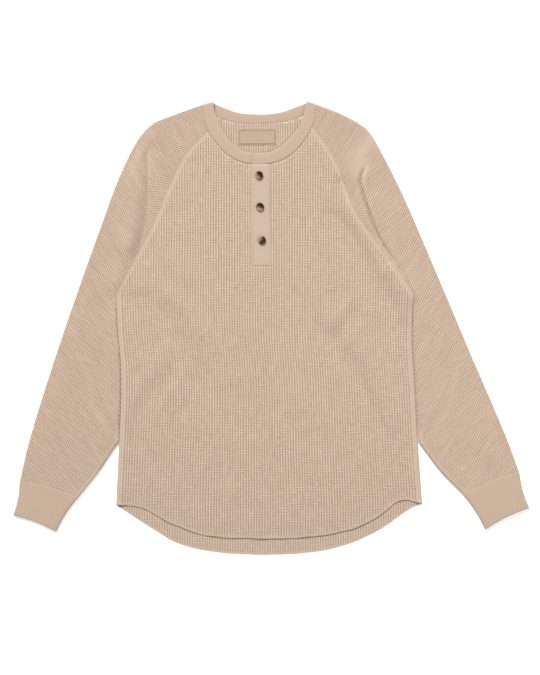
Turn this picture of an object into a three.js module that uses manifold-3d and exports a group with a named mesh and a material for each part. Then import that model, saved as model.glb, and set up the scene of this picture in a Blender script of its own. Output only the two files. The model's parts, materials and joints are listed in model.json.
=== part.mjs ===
// A raglan-sleeve henley shirt of waffle knit, laid flat front up.
// Millimetres, +Z up. Left and right are those of a viewer looking down on the front.
import * as THREE from 'three';
import { mergeVertices } from 'three/addons/utils/BufferGeometryUtils.js';
import Module from 'manifold-3d';

const wasm = await Module();
wasm.setup();

// Cloth and seams
const KNIT = 2.0;
const JERSEY = 1.5;
const LABEL_CLOTH = 1.0;
const SEAM_GAP = 0.3;
const CUFF_GAP = 0.7;

// The shirt lies in two layers. Each height is that of the middle of a wall.
const FOLD_RADIUS = 2.0;
const LOW = KNIT / 2;
const HIGH = LOW + 2 * FOLD_RADIUS;
const MIDDLE = (LOW + HIGH) / 2;
const EDGE = FOLD_RADIUS + KNIT / 2;
// Angle that each layer turns at a side seam, where the two layers meet edge to edge
const SEAM_TURN = THREE.MathUtils.degToRad(78);
const BAND_LOW = JERSEY / 2;
const BAND_HIGH = HIGH;
const BAND_UNDER = BAND_HIGH - JERSEY - SEAM_GAP;
const PLACKET_RISE = 0.4;
const PLACKET_TOP_HEIGHT = HIGH + PLACKET_RISE;
const PLACKET_UNDER_HEIGHT = PLACKET_TOP_HEIGHT - JERSEY - SEAM_GAP;
const LAYER_GAP = 0.4;
const LOWEST_TOP_LAYER = LOW + KNIT + LAYER_GAP;

// How fine the walls are divided
const FRONT_ROWS = 22;
const BACK_ROWS = 7;
const RAGLAN_STEPS = 9;
const SLEEVE_STEPS = 13;
const SLEEVE_TOP_STEPS = 6;
const SLEEVE_UNDER_STEPS = 4;
const NECK_FRONT_STEPS = 14;
const NECK_BACK_STEPS = 8;
const FOLD_STEPS = 4;
const EDGE_SHARES = [0, 0.5, 1];
const STRIP_SHARES = [0, 0.5, 1];
// Share of the sleeve's raglan length between two stations of the turned-over edge
const EDGE_STATION_SHARE = 0.004;
// Rise for each unit outward of the direction that leads off a raglan seam
const RAGLAN_LEAN = 0.4;
const LEAST_STATION_SHARE = 0.01;

// Outlines of the laid shirt, one row for each point
const UNDERARM = { left: { x: -244, y: 54 }, right: { x: 224, y: 54 } };
const BODY_SIDE = {
  left: [
    { x: -244, y: 54 }, { x: -242, y: 0 }, { x: -237, y: -58 }, { x: -236.5, y: -110 },
    { x: -239, y: -171 }, { x: -244, y: -279 },
  ],
  right: [
    { x: 224, y: 54 }, { x: 222.5, y: -23 }, { x: 226.5, y: -92 }, { x: 231, y: -178 },
    { x: 238, y: -277 },
  ],
};
const FRONT_HEM = [
  { x: -244, y: -279 }, { x: -206, y: -283 }, { x: -160, y: -307 }, { x: -104, y: -327 },
  { x: -32, y: -332 }, { x: 45, y: -331 }, { x: 118, y: -320 }, { x: 162, y: -302 },
  { x: 206, y: -272 }, { x: 238, y: -277 },
];
const BACK_HEM = [
  { x: -244, y: -279 }, { x: -187, y: -316 }, { x: -147, y: -339 }, { x: -94, y: -352 },
  { x: 6, y: -357 }, { x: 95, y: -348 }, { x: 162, y: -323 }, { x: 221, y: -284 },
  { x: 238, y: -277 },
];
const FRONT_RAGLAN = {
  left: [
    { x: -98.5, y: 311.5 }, { x: -133, y: 276 }, { x: -158, y: 227 }, { x: -188, y: 159 },
    { x: -218, y: 104 }, { x: -244, y: 54 },
  ],
  right: [
    { x: 65, y: 318 }, { x: 94.5, y: 276 }, { x: 112, y: 240 }, { x: 128, y: 192 },
    { x: 155, y: 151 }, { x: 185, y: 111 }, { x: 224, y: 54 },
  ],
};
const BACK_RAGLAN = {
  left: [
    { x: -79, y: 330.6 }, { x: -112, y: 290 }, { x: -146, y: 235 }, { x: -180, y: 170 },
    { x: -212, y: 110 }, { x: -244, y: 54 },
  ],
  right: [
    { x: 41, y: 331.4 }, { x: 78, y: 290 }, { x: 112, y: 235 }, { x: 150, y: 170 },
    { x: 186, y: 110 }, { x: 224, y: 54 },
  ],
};
// The band's corner points are on the line that it folds about
const NECK_FRONT_SEAM = [
  { x: -107, y: 350.1 }, { x: -107.3, y: 338 }, { x: -102, y: 318 }, { x: -92, y: 299 },
  { x: -71, y: 275 }, { x: -45, y: 261 }, { x: -2, y: 259 }, { x: 27, y: 270 },
  { x: 50, y: 292 }, { x: 65, y: 318 }, { x: 72, y: 350.1 },
];
const NECK_FRONT_FREE = [
  { x: -89.3, y: 353.8 }, { x: -89, y: 344 }, { x: -84, y: 330 }, { x: -76, y: 312 },
  { x: -63, y: 293 }, { x: -42, y: 278.5 }, { x: -4, y: 277 }, { x: 16, y: 287 },
  { x: 37, y: 308 }, { x: 48, y: 326 }, { x: 56, y: 355.1 },
];
const NECK_BACK_SEAM = [
  { x: -107, y: 350.1 }, { x: -98, y: 340 }, { x: -77, y: 329.7 }, { x: -50, y: 323 },
  { x: -19.5, y: 322.5 }, { x: 11, y: 324 }, { x: 35, y: 329 }, { x: 61, y: 340 },
  { x: 72, y: 350.1 },
];
const NECK_BACK_FREE = [
  { x: -89.3, y: 353.8 }, { x: -71, y: 346.5 }, { x: -52, y: 340 }, { x: -20.5, y: 337.4 },
  { x: 5, y: 338.6 }, { x: 24, y: 343 }, { x: 42.5, y: 350 }, { x: 56, y: 355.1 },
];
const SLEEVE_OUTER = {
  left: [
    { x: -107, y: 353 }, { x: -146, y: 339 }, { x: -184, y: 324 }, { x: -204, y: 306 },
    { x: -235, y: 249 }, { x: -271, y: 154 }, { x: -337, y: -35 }, { x: -381, y: -176 },
    { x: -396.6, y: -241.6 },
  ],
  right: [
    { x: 72, y: 353 }, { x: 118, y: 334 }, { x: 153, y: 312 }, { x: 173, y: 280 },
    { x: 205, y: 217 }, { x: 233, y: 154 }, { x: 313, y: -35 }, { x: 373, y: -176 },
    { x: 391.5, y: -226.5 },
  ],
};
const SLEEVE_INNER = {
  left: [
    { x: -244, y: 54 }, { x: -242, y: 0 }, { x: -237, y: -58 }, { x: -236.5, y: -110 },
    { x: -239, y: -165 }, { x: -246, y: -186 }, { x: -271, y: -226 }, { x: -303.4, y: -267 },
  ],
  right: [
    { x: 224, y: 54 }, { x: 222.5, y: -23 }, { x: 226.5, y: -92 }, { x: 231, y: -170 },
    { x: 239, y: -189 }, { x: 272, y: -232 }, { x: 302.2, y: -262.9 },
  ],
};
// The point of the outer fold that lies across the sleeve from the underarm
const ACROSS_FROM_UNDERARM = { left: { x: -299, y: 73 }, right: { x: 268, y: 72 } };
// Each cuff lies between its seam and its end; its two sides bend in by the waist
const CUFF = {
  left: {
    seamOuter: { x: -396.6, y: -241.6 }, seamInner: { x: -304, y: -268 },
    endOuter: { x: -406.5, y: -290 }, endInner: { x: -338, y: -319.7 },
  },
  right: {
    seamOuter: { x: 391.5, y: -226.5 }, seamInner: { x: 303, y: -264 },
    endOuter: { x: 407, y: -280 }, endInner: { x: 337, y: -317 },
  },
};
const CUFF_WAIST = 2.5;
const CUFF_SEAM_BOW = 3;
const CUFF_STEPS = 5;
const CUFF_LAYER_STEPS = 4;
const NECK_FOLLOW_ROWS = 3;
const CUFF_FOLLOW_ROWS = 2;

// Sleeve and body lie side by side this far apart below the underarm
const SLEEVE_TO_BODY = 1.2;
// Length below the underarm in which the side seams start to turn over
const CURL_START = 26;

// Middle of the laid shirt, in the outlines' own coordinates
const LAID_MIDDLE = { x: 0.25, y: 0.38 };

// Soft folds of the upper layer: height is positive for a ridge and negative for a trough
const FOLDS = [
  { name: 'chest ridge', height: 1.8, width: 24, path: [[-143, 154], [-112, 60], [-104, 13]] },
  { name: 'left underarm trough', height: -1.3, width: 13, path: [[-205, 45], [-150, 35]] },
  { name: 'left waist trough', height: -1.5, width: 12, path: [[-159, -58], [-205, -121], [-222, -161]] },
  { name: 'left belly trough', height: -1.2, width: 16, path: [[-128, -35], [-159, -145]] },
  { name: 'left waist ridge', height: 1.4, width: 15, path: [[-150, -30], [-200, -85]] },
  { name: 'belly dimple', height: -1.1, width: 14, path: [[96, 4], [106, -4]] },
  { name: 'right waist trough', height: -1.5, width: 12, path: [[124, -35], [176, -113], [203, -161]] },
  { name: 'right chest ridge', height: 1.7, width: 20, path: [[145, 50], [172, -10]] },
  { name: 'right raglan trough', height: -1.2, width: 13, path: [[115, 150], [165, 70]] },
  { name: 'left shoulder trough', height: -1.5, width: 9, path: [[-196, 285], [-199, 190], [-232, 105]] },
  { name: 'left shoulder ridge', height: 1.6, width: 10, path: [[-216, 240], [-226, 175]] },
  { name: 'right shoulder crease', height: -1.6, width: 6, path: [[143, 247], [155, 196], [176, 152]] },
  { name: 'right shoulder ridge', height: 1.6, width: 11, path: [[160, 240], [182, 180]] },
  { name: 'left elbow ridge', height: 1.3, width: 16, path: [[-285, 20], [-310, -90]] },
  { name: 'right elbow ridge', height: 1.3, width: 16, path: [[268, 20], [300, -90]] },
  { name: 'hem ripple 1', height: 0.8, width: 13, path: [[-72, -262], [-78, -310]] },
  { name: 'hem ripple 2', height: 0.8, width: 12, path: [[-22, -270], [-20, -316]] },
  { name: 'hem ripple 3', height: 0.9, width: 13, path: [[34, -258], [40, -312]] },
  { name: 'hem ripple 4', height: 0.7, width: 12, path: [[84, -262], [94, -306]] },
];
const FOLD_FADE = 20;
const HEM_SETTLE = 60;
const HEM_DROP = 1.5;

// Placket, buttons and label
const PLACKET = {
  top: 257.6, bottom: 98, leftTop: -30.3, leftBottom: -29.3, rightTop: -2.4, rightBottom: 1.9,
};
const PLACKET_STEPS = 14;
const SLIT_OVERRUN = 15;
const BAND_OVER_END = -30;
const BAND_UNDER_END = -3;
const BAND_RISE = 12;
const BUTTON_RADIUS = 6.25;
const BUTTON_HEIGHT = 2.8;
const BUTTON_HOLE_RADIUS = 0.8;
const BUTTON_HOLE_OFFSET = 1.45;
const BUTTON_SIDES = 24;
const BUTTON_PLACES = [
  { x: -18.7, y: 240.3 }, { x: -17.3, y: 190.6 }, { x: -14.5, y: 138.3 },
];
const LABEL = { left: -52, right: 8, bottom: 289, top: 313 };

const MATERIALS = {
  waffle: new THREE.MeshStandardMaterial({ color: 0xcbb49d, roughness: 0.92, metalness: 0 }),
  jersey: new THREE.MeshStandardMaterial({ color: 0xd2b9a4, roughness: 0.9, metalness: 0 }),
  horn: new THREE.MeshStandardMaterial({ color: 0x3a2a22, roughness: 0.35, metalness: 0 }),
  woven: new THREE.MeshStandardMaterial({ color: 0xc9b9a4, roughness: 0.7, metalness: 0 }),
};

// Small helpers

const mix = (a, b, share) => a + (b - a) * share;

function ease(value) {
  const share = Math.min(Math.max(value, 0), 1);
  return share * share * (3 - 2 * share);
}

function smooth(rows) {
  const points = rows.map(({ x, y }) => new THREE.Vector3(x, y, 0));
  return new THREE.CatmullRomCurve3(points, false, 'centripetal');
}

function mixPoints(a, b, share) {
  return { x: mix(a.x, b.x, share), y: mix(a.y, b.y, share) };
}

function toward(a, b) {
  const length = Math.hypot(b.x - a.x, b.y - a.y);
  return { x: (b.x - a.x) / length, y: (b.y - a.y) / length };
}

function moved(point, direction, distance) {
  return { x: point.x + direction.x * distance, y: point.y + direction.y * distance };
}

const raised = (point, z) => new THREE.Vector3(point.x, point.y, z);

// The point where a curve takes the wanted value of a rising or falling measure
function pointWhere(curve, measure, wanted, samples = 160) {
  let before = curve.getPoint(0);
  for (let i = 1; i <= samples; i++) {
    const after = curve.getPoint(i / samples);
    const a = measure(before) - wanted;
    const b = measure(after) - wanted;
    if (a === 0) return before;
    if (a * b <= 0) return before.clone().lerp(after, a / (a - b));
    before = after;
  }
  const start = curve.getPoint(0);
  const closerToStart = Math.abs(measure(start) - wanted) < Math.abs(measure(before) - wanted);
  return closerToStart ? start : before;
}

function fractionNearest(curve, point, samples = 400) {
  let best = 0;
  let bestDistance = Infinity;
  for (let i = 0; i <= samples; i++) {
    const at = curve.getPointAt(i / samples);
    const distance = Math.hypot(at.x - point.x, at.y - point.y);
    if (distance < bestDistance) {
      best = i / samples;
      bestDistance = distance;
    }
  }
  return best;
}

function distanceToPath(x, y, path) {
  let nearest = Infinity;
  for (let i = 1; i < path.length; i++) {
    const [ax, ay] = path[i - 1];
    const [bx, by] = path[i];
    const along = ((x - ax) * (bx - ax) + (y - ay) * (by - ay)) / ((bx - ax) ** 2 + (by - ay) ** 2);
    const share = Math.min(Math.max(along, 0), 1);
    nearest = Math.min(nearest, Math.hypot(x - mix(ax, bx, share), y - mix(ay, by, share)));
  }
  return nearest;
}

// Height that the soft folds add to the upper layer
function foldHeight(x, y) {
  let height = 0;
  for (const fold of FOLDS) {
    height += fold.height * Math.exp(-((distanceToPath(x, y, fold.path) / fold.width) ** 2));
  }
  return height;
}

// Direction across a row of points, true to the curve at the row's ends too
function acrossAt(row, j) {
  const last = row.length - 1;
  const endward = (a, b, c) => a.clone().multiplyScalar(3).addScaledVector(b, -4).add(c);
  if (last < 2) return row[last].clone().sub(row[0]);
  if (j === 0) return endward(row[0], row[1], row[2]).negate();
  if (j === last) return endward(row[last], row[last - 1], row[last - 2]);
  return row[j + 1].clone().sub(row[j - 1]);
}

// Closed wall of even thickness round a grid of points on the cloth's middle surface.
// A closed grid is a tube: its last column is joined to its first.
function wall(grid, thickness, closed = false) {
  const rows = grid.length;
  const columns = grid[0].length;
  const spans = closed ? columns : columns - 1;
  const at = (i, j) => grid[Math.min(Math.max(i, 0), rows - 1)][
    closed ? (j + columns) % columns : Math.min(Math.max(j, 0), columns - 1)];
  const positions = [];
  for (const layer of [0.5, -0.5]) {
    for (let i = 0; i < rows; i++) {
      for (let j = 0; j < columns; j++) {
        const along = at(i + 1, j).clone().sub(at(i - 1, j));
        const across = closed ? at(i, j + 1).clone().sub(at(i, j - 1)) : acrossAt(grid[i], j);
        const normal = along.cross(across).normalize();
        positions.push(...at(i, j).clone().addScaledVector(normal, layer * thickness).toArray());
      }
    }
  }
  const outer = (i, j) => i * columns + (j % columns);
  const inner = (i, j) => rows * columns + outer(i, j);
  const index = [];
  const quad = (a, b, c, d) => index.push(a, b, c, a, c, d);
  for (let i = 0; i < rows - 1; i++) {
    for (let j = 0; j < spans; j++) {
      quad(outer(i, j), outer(i + 1, j), outer(i + 1, j + 1), outer(i, j + 1));
      quad(inner(i, j), inner(i, j + 1), inner(i + 1, j + 1), inner(i + 1, j));
    }
  }
  for (let j = 0; j < spans; j++) {
    quad(outer(0, j), outer(0, j + 1), inner(0, j + 1), inner(0, j));
    quad(outer(rows - 1, j + 1), outer(rows - 1, j), inner(rows - 1, j), inner(rows - 1, j + 1));
  }
  if (!closed) {
    for (let i = 0; i < rows - 1; i++) {
      quad(outer(i + 1, 0), outer(i, 0), inner(i, 0), inner(i + 1, 0));
      quad(outer(i, spans), outer(i + 1, spans), inner(i + 1, spans), inner(i, spans));
    }
  }
  const geometry = new THREE.BufferGeometry();
  geometry.setAttribute('position', new THREE.Float32BufferAttribute(positions, 3));
  geometry.setIndex(index);
  return facingOut(geometry);
}

function signedVolume(geometry) {
  const { position } = geometry.attributes;
  const index = geometry.getIndex().array;
  const corner = (k) => new THREE.Vector3().fromBufferAttribute(position, index[k]);
  let volume = 0;
  for (let k = 0; k < index.length; k += 3) {
    volume += corner(k).dot(corner(k + 1).cross(corner(k + 2))) / 6;
  }
  return volume;
}

function facingOut(geometry) {
  if (signedVolume(geometry) < 0) {
    const index = geometry.getIndex();
    for (let k = 0; k < index.count; k += 3) {
      const second = index.getX(k + 1);
      index.setX(k + 1, index.getX(k + 2));
      index.setX(k + 2, second);
    }
  }
  return geometry;
}

function solidOf(geometry) {
  const bare = geometry.index ? geometry.clone() : geometry;
  bare.deleteAttribute('normal');
  bare.deleteAttribute('uv');
  const merged = mergeVertices(bare);
  return new wasm.Manifold(new wasm.Mesh({
    numProp: 3,
    vertProperties: new Float32Array(merged.attributes.position.array),
    triVerts: new Uint32Array(merged.getIndex().array),
  }));
}

function geometryOf(solid) {
  const mesh = solid.getMesh();
  const geometry = new THREE.BufferGeometry();
  geometry.setAttribute('position', new THREE.BufferAttribute(mesh.vertProperties, 3));
  geometry.setIndex(new THREE.BufferAttribute(mesh.triVerts, 1));
  return geometry;
}

// Body: columns of the knit run up the panel, a fixed share of the half width from its middle

const sideCurve = { left: smooth(BODY_SIDE.left), right: smooth(BODY_SIDE.right) };

function bodyEdge(side, y) {
  const level = Math.min(y, UNDERARM[side].y);
  return pointWhere(sideCurve[side], (point) => point.y, level).x;
}

const bodyMiddle = (y) => (bodyEdge('left', y) + bodyEdge('right', y)) / 2;
const bodyHalf = (y) => (bodyEdge('right', y) - bodyEdge('left', y)) / 2;
const shareOf = (point) => (point.x - bodyMiddle(point.y)) / bodyHalf(point.y);

// Stations down a raglan seam, neck first; the last ones are the turned-over edge of the side seam
function raglanStations(curve, side) {
  const stations = [];
  for (let k = 0; k < RAGLAN_STEPS; k++) {
    stations.push(curve.getPointAt(k / RAGLAN_STEPS));
  }
  const sign = side === 'left' ? -1 : 1;
  for (const share of EDGE_SHARES) {
    const column = sign * (1 - (1 - share) * EDGE / bodyHalf(UNDERARM[side].y));
    stations.push(pointWhere(curve, shareOf, column));
  }
  return stations;
}

// How far the side seam has turned over at this height: not at all at the underarm
const curlAt = (y) => ease((UNDERARM.left.y - y) / CURL_START);

// A panel point: its place across, turned a quarter round towards the other layer near the side seam
function panelPoint(column, y, height, turnDown) {
  const flat = bodyMiddle(y) + column * bodyHalf(y);
  const side = column < 0 ? 'left' : 'right';
  const inward = column < 0 ? 1 : -1;
  const edge = bodyEdge(side, y);
  const depth = Math.min(Math.abs(edge - flat), EDGE);
  const angle = (1 - depth / EDGE) * SEAM_TURN;
  const curl = Math.abs(edge - flat) < EDGE ? curlAt(y) : 0;
  const turned = edge + inward * (EDGE - FOLD_RADIUS * Math.sin(angle));
  const drop = curl * FOLD_RADIUS * (1 - Math.cos(angle));
  return new THREE.Vector3(mix(flat, turned, curl), y, height + (turnDown ? -drop : drop));
}

function panelGrid(tops, hemCurve, rowCount, heightAt, turnDown) {
  const columns = tops.map((top) => {
    const share = Math.min(Math.max(shareOf(top), -1), 1);
    return { top, share, hem: pointWhere(hemCurve, shareOf, share) };
  });
  const grid = [];
  for (let i = 0; i <= rowCount; i++) {
    grid.push(columns.map(({ top, share, hem }) => {
      const y = mix(hem.y, top.y, i / rowCount);
      const x = bodyMiddle(y) + share * bodyHalf(y);
      const sideDepth = (1 - Math.abs(share)) * bodyHalf(y);
      return panelPoint(share, y, heightAt(x, y, sideDepth, y - hem.y), turnDown);
    }));
  }
  return grid;
}

// Neckband: pairs of points on its seam and free edges, front and back

const neckCurves = {
  front: { seam: smooth(NECK_FRONT_SEAM), free: smooth(NECK_FRONT_FREE) },
  back: { seam: smooth(NECK_BACK_SEAM), free: smooth(NECK_BACK_FREE) },
};

function neckStation(layer, share) {
  const seam = neckCurves[layer].seam.getPointAt(share);
  const free = neckCurves[layer].free.getPointAt(share);
  const out = toward(free, seam);
  return { seam, free, out };
}

// Shares of the neck seam that belong to one sleeve or to the body panel
function neckShares(layer, raglans, sleeveSteps, panelSteps) {
  const { seam } = neckCurves[layer];
  const leftStart = fractionNearest(seam, raglans.left[0]);
  const rightStart = fractionNearest(seam, raglans.right[0]);
  const split = (from, to, steps) =>
    Array.from({ length: steps + 1 }, (_, k) => mix(from, to, k / steps));
  return {
    left: split(0, leftStart, sleeveSteps),
    panel: split(leftStart, rightStart, panelSteps),
    right: split(1, rightStart, sleeveSteps),
  };
}

const frontShares = neckShares('front', FRONT_RAGLAN, SLEEVE_TOP_STEPS, NECK_FRONT_STEPS);
const backShares = neckShares('back', BACK_RAGLAN, SLEEVE_UNDER_STEPS, NECK_BACK_STEPS);

// A raglan seam starts on the neck seam, at the point nearest to its table's first row
function raglansFrom(layer, tables) {
  const { seam } = neckCurves[layer];
  const curveFor = (rows) => {
    const start = seam.getPointAt(fractionNearest(seam, rows[0]));
    return smooth([start, ...rows.slice(1)]);
  };
  return {
    left: raglanStations(curveFor(tables.left), 'left'),
    right: raglanStations(curveFor(tables.right), 'right'),
  };
}

const frontRaglans = raglansFrom('front', FRONT_RAGLAN);
const backRaglans = raglansFrom('back', BACK_RAGLAN);

// Top ends of a panel's columns, left underarm to right underarm, kept off the seams by half the gap
function panelTops(layer, shares, raglans) {
  const inside = { x: bodyMiddle(UNDERARM.left.y), y: 0 };
  const clear = (point) => moved(point, toward(point, inside), SEAM_GAP * 0.7);
  const neck = shares.panel.map((share) => {
    const { seam, out } = neckStation(layer, share);
    return moved(seam, out, SEAM_GAP);
  });
  neck[0] = clear(neck[0]);
  neck[neck.length - 1] = clear(neck[neck.length - 1]);
  return [
    ...raglans.left.slice(1).reverse().map(clear),
    ...neck,
    ...raglans.right.slice(1).map(clear),
  ];
}

function frontHeight(x, y, sideDepth, aboveHem) {
  const fade = ease(sideDepth / FOLD_FADE);
  const settled = HEM_DROP * (1 - ease(aboveHem / HEM_SETTLE));
  return Math.max(HIGH + fade * (foldHeight(x, y) - settled), LOWEST_TOP_LAYER);
}

function frontPanel() {
  const tops = panelTops('front', frontShares, frontRaglans);
  const grid = panelGrid(tops, smooth(FRONT_HEM), FRONT_ROWS, frontHeight, true);
  const slit = placketOutline(SEAM_GAP, PLACKET.top + SLIT_OVERRUN);
  const cutter = new THREE.ExtrudeGeometry(slit, { depth: 3 * HIGH, bevelEnabled: false });
  return geometryOf(solidOf(wall(grid, KNIT)).subtract(solidOf(cutter)));
}

function backPanel() {
  const tops = panelTops('back', backShares, backRaglans);
  return wall(panelGrid(tops, smooth(BACK_HEM), BACK_ROWS, () => LOW, false), KNIT);
}

// Placket

function placketEdges(y) {
  const share = (y - PLACKET.bottom) / (PLACKET.top - PLACKET.bottom);
  return {
    left: mix(PLACKET.leftBottom, PLACKET.leftTop, share),
    right: mix(PLACKET.rightBottom, PLACKET.rightTop, share),
  };
}

function placketOutline(clearance, top) {
  const bottom = PLACKET.bottom - clearance;
  const low = placketEdges(bottom);
  const high = placketEdges(top);
  return new THREE.Shape([
    new THREE.Vector2(low.left - clearance, bottom),
    new THREE.Vector2(low.right + clearance, bottom),
    new THREE.Vector2(high.right + clearance, top),
    new THREE.Vector2(high.left - clearance, top),
  ]);
}

function placketStrip(height) {
  const grid = [];
  for (let i = 0; i <= PLACKET_STEPS; i++) {
    const y = mix(PLACKET.bottom, PLACKET.top, i / PLACKET_STEPS);
    const { left, right } = placketEdges(y);
    grid.push(STRIP_SHARES.map((share) => new THREE.Vector3(mix(left, right, share), y, height)));
  }
  return wall(grid, JERSEY);
}

// Sleeves: one piece, from the back seam round the outer fold to the front seam

// Points of one row round the sleeve. bend moves a point in plan, by its layer and its share of the
// way from the outer fold to the seam.
function sleeveSection({ back, outer, front, outward, curl }, bend) {
  const foldCentre = moved(outer, outward, -EDGE);
  const placed = (layer, edge, share, height) => {
    const shift = bend(layer, share);
    const at = mixPoints(foldCentre, edge, share);
    return new THREE.Vector3(at.x + shift.x, at.y + shift.y, height);
  };
  const edgeRun = (layer, edge, height, sign) => {
    const width = Math.hypot(edge.x - foldCentre.x, edge.y - foldCentre.y);
    return EDGE_SHARES.map((share) => {
      const angle = share * SEAM_TURN;
      const depth = mix(EDGE * (1 - share), EDGE - FOLD_RADIUS * Math.sin(angle), curl);
      const drop = curl * FOLD_RADIUS * (1 - Math.cos(angle));
      return placed(layer, edge, 1 - depth / width, height - sign * drop);
    });
  };
  const points = edgeRun('back', back, LOW, -1).reverse();
  const underWidth = Math.hypot(back.x - foldCentre.x, back.y - foldCentre.y);
  for (let k = SLEEVE_UNDER_STEPS - 1; k > 0; k--) {
    points.push(placed('back', back, (1 - EDGE / underWidth) * k / SLEEVE_UNDER_STEPS, LOW));
  }
  const foldShift = bend('front', 0);
  for (let k = 0; k <= FOLD_STEPS; k++) {
    const angle = Math.PI * (k / FOLD_STEPS - 0.5);
    const at = moved(foldCentre, outward, FOLD_RADIUS * Math.cos(angle));
    const height = MIDDLE + FOLD_RADIUS * Math.sin(angle);
    points.push(new THREE.Vector3(at.x + foldShift.x, at.y + foldShift.y, height));
  }
  const topWidth = Math.hypot(front.x - foldCentre.x, front.y - foldCentre.y);
  for (let k = 1; k < SLEEVE_TOP_STEPS; k++) {
    const share = (1 - EDGE / topWidth) * k / SLEEVE_TOP_STEPS;
    const at = placed('front', front, share, HIGH);
    const fromFold = share * topWidth;
    const fromSeam = mix(FOLD_FADE, (1 - share) * topWidth, curl);
    const fade = ease(Math.min(fromFold, fromSeam) / FOLD_FADE);
    at.z = Math.max(HIGH + fade * foldHeight(at.x, at.y), LOWEST_TOP_LAYER);
    points.push(at);
  }
  const seamHeight = HIGH + (1 - curl) * foldHeight(front.x, front.y);
  points.push(...edgeRun('front', front, Math.max(seamHeight, LOWEST_TOP_LAYER), 1));
  return points;
}

function sleeveStations(side) {
  const outerCurve = smooth(SLEEVE_OUTER[side]);
  const innerCurve = smooth(SLEEVE_INNER[side]);
  const bodyward = side === 'left' ? 1 : -1;
  const away = toward({ x: bodyward, y: 0 }, { x: 0, y: RAGLAN_LEAN });
  const front = frontRaglans[side];
  const back = backRaglans[side];
  const underarmShare = fractionNearest(outerCurve, ACROSS_FROM_UNDERARM[side]);
  const stations = [];
  const raglanCount = front.length - 1;
  for (let k = 0; k <= raglanCount; k++) {
    stations.push({
      share: underarmShare * Math.min(k / RAGLAN_STEPS, 1 - EDGE_STATION_SHARE * (raglanCount - k)),
      front: moved(front[k], away, SEAM_GAP / 2),
      back: moved(back[k], away, SEAM_GAP / 2),
      curl: 0,
    });
  }
  for (let k = 1; k <= SLEEVE_STEPS; k++) {
    const inner = innerCurve.getPointAt(k / SLEEVE_STEPS);
    const apart = SLEEVE_TO_BODY * ease(6 * k / SLEEVE_STEPS);
    const edge = moved(inner, { x: -bodyward, y: 0 }, apart + SEAM_GAP / 2);
    stations.push({
      share: mix(underarmShare, 1, k / SLEEVE_STEPS),
      front: edge,
      back: edge,
      curl: curlAt(inner.y),
    });
  }
  return stations.map((station) => {
    const tangent = outerCurve.getTangentAt(station.share);
    const outward = { x: bodyward * tangent.y, y: -bodyward * tangent.x };
    return { ...station, outer: outerCurve.getPointAt(station.share), outward };
  });
}

// The first rows follow the curved neck seam, and the last ones the bowed cuff seam
function sleeve(side) {
  const stations = sleeveStations(side);
  const shares = { front: frontShares[side], back: backShares[side] };
  const first = stations[0];
  const foldStart = moved(first.outer, first.outward, -EDGE);
  const neckShift = (layer, share) => {
    const onSeam = mix(shares[layer][0], shares[layer].at(-1), share);
    const { seam, out } = neckStation(layer, onSeam);
    const target = moved(seam, out, SEAM_GAP);
    const straight = mixPoints(foldStart, first[layer], share);
    return { x: target.x - straight.x, y: target.y - straight.y };
  };
  const along = toward(CUFF[side].seamOuter, CUFF[side].endOuter);
  const grid = stations.map((station, i) => {
    const neckPull = Math.max(0, 1 - i / NECK_FOLLOW_ROWS) ** 1.5;
    const cuffPull = Math.max(0, 1 - (stations.length - 1 - i) / CUFF_FOLLOW_ROWS);
    return sleeveSection(station, (layer, share) => {
      const neck = neckPull > 0 ? neckShift(layer, share) : { x: 0, y: 0 };
      const bow = cuffPull * CUFF_SEAM_BOW * Math.sin(Math.PI * share);
      return { x: neckPull * neck.x + bow * along.x, y: neckPull * neck.y + bow * along.y };
    });
  });
  return wall(grid, KNIT);
}

// Cuffs: a flattened tube, both ends open

function cuff(side) {
  const corners = CUFF[side];
  const grid = [];
  for (let i = 0; i <= CUFF_STEPS; i++) {
    const share = i / CUFF_STEPS;
    const waist = CUFF_WAIST * Math.sin(Math.PI * share);
    const outerFlat = mixPoints(corners.seamOuter, corners.endOuter, share);
    const innerFlat = mixPoints(corners.seamInner, corners.endInner, share);
    const across = toward(outerFlat, innerFlat);
    const along = toward(corners.seamOuter, corners.endOuter);
    const start = i === 0 ? CUFF_GAP : 0;
    const outer = moved(moved(outerFlat, across, waist), along, start);
    const inner = moved(moved(innerFlat, across, -waist), along, start);
    grid.push(cuffRing(outer, inner, along, CUFF_SEAM_BOW * (1 - share)));
  }
  return wall(grid, JERSEY, true);
}

function cuffRing(outer, inner, along, bow) {
  const radius = (HIGH - BAND_LOW) / 2;
  const centreHeight = BAND_LOW + radius;
  const across = toward(outer, inner);
  const reach = radius + JERSEY / 2;
  const outerCentre = moved(outer, across, reach);
  const innerCentre = moved(inner, across, -reach);
  const ring = [];
  const layer = (from, to, height) => {
    for (let k = 1; k < CUFF_LAYER_STEPS; k++) {
      const share = k / CUFF_LAYER_STEPS;
      const at = moved(mixPoints(from, to, share), along, bow * Math.sin(Math.PI * share));
      ring.push(raised(at, height));
    }
  };
  const fold = (centre, direction, from) => {
    for (let k = 0; k <= FOLD_STEPS; k++) {
      const angle = from + Math.PI * k / FOLD_STEPS;
      const at = moved(centre, direction, radius * Math.abs(Math.cos(angle)));
      ring.push(raised(at, centreHeight + radius * Math.sin(angle)));
    }
  };
  fold(innerCentre, across, -Math.PI / 2);
  layer(innerCentre, outerCentre, centreHeight + radius);
  fold(outerCentre, { x: -across.x, y: -across.y }, Math.PI / 2);
  layer(outerCentre, innerCentre, centreHeight - radius);
  return ring;
}

// The neckband's rows run from its under end at the placket, round by the left and the back,
// to its upper end on the placket

function bandRow(layer, share, height) {
  const { seam, free, out } = neckStation(layer, share);
  const edge = moved(seam, out, -SEAM_GAP / 2);
  return STRIP_SHARES.map((part) => raised(mixPoints(free, edge, part), height));
}

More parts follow.
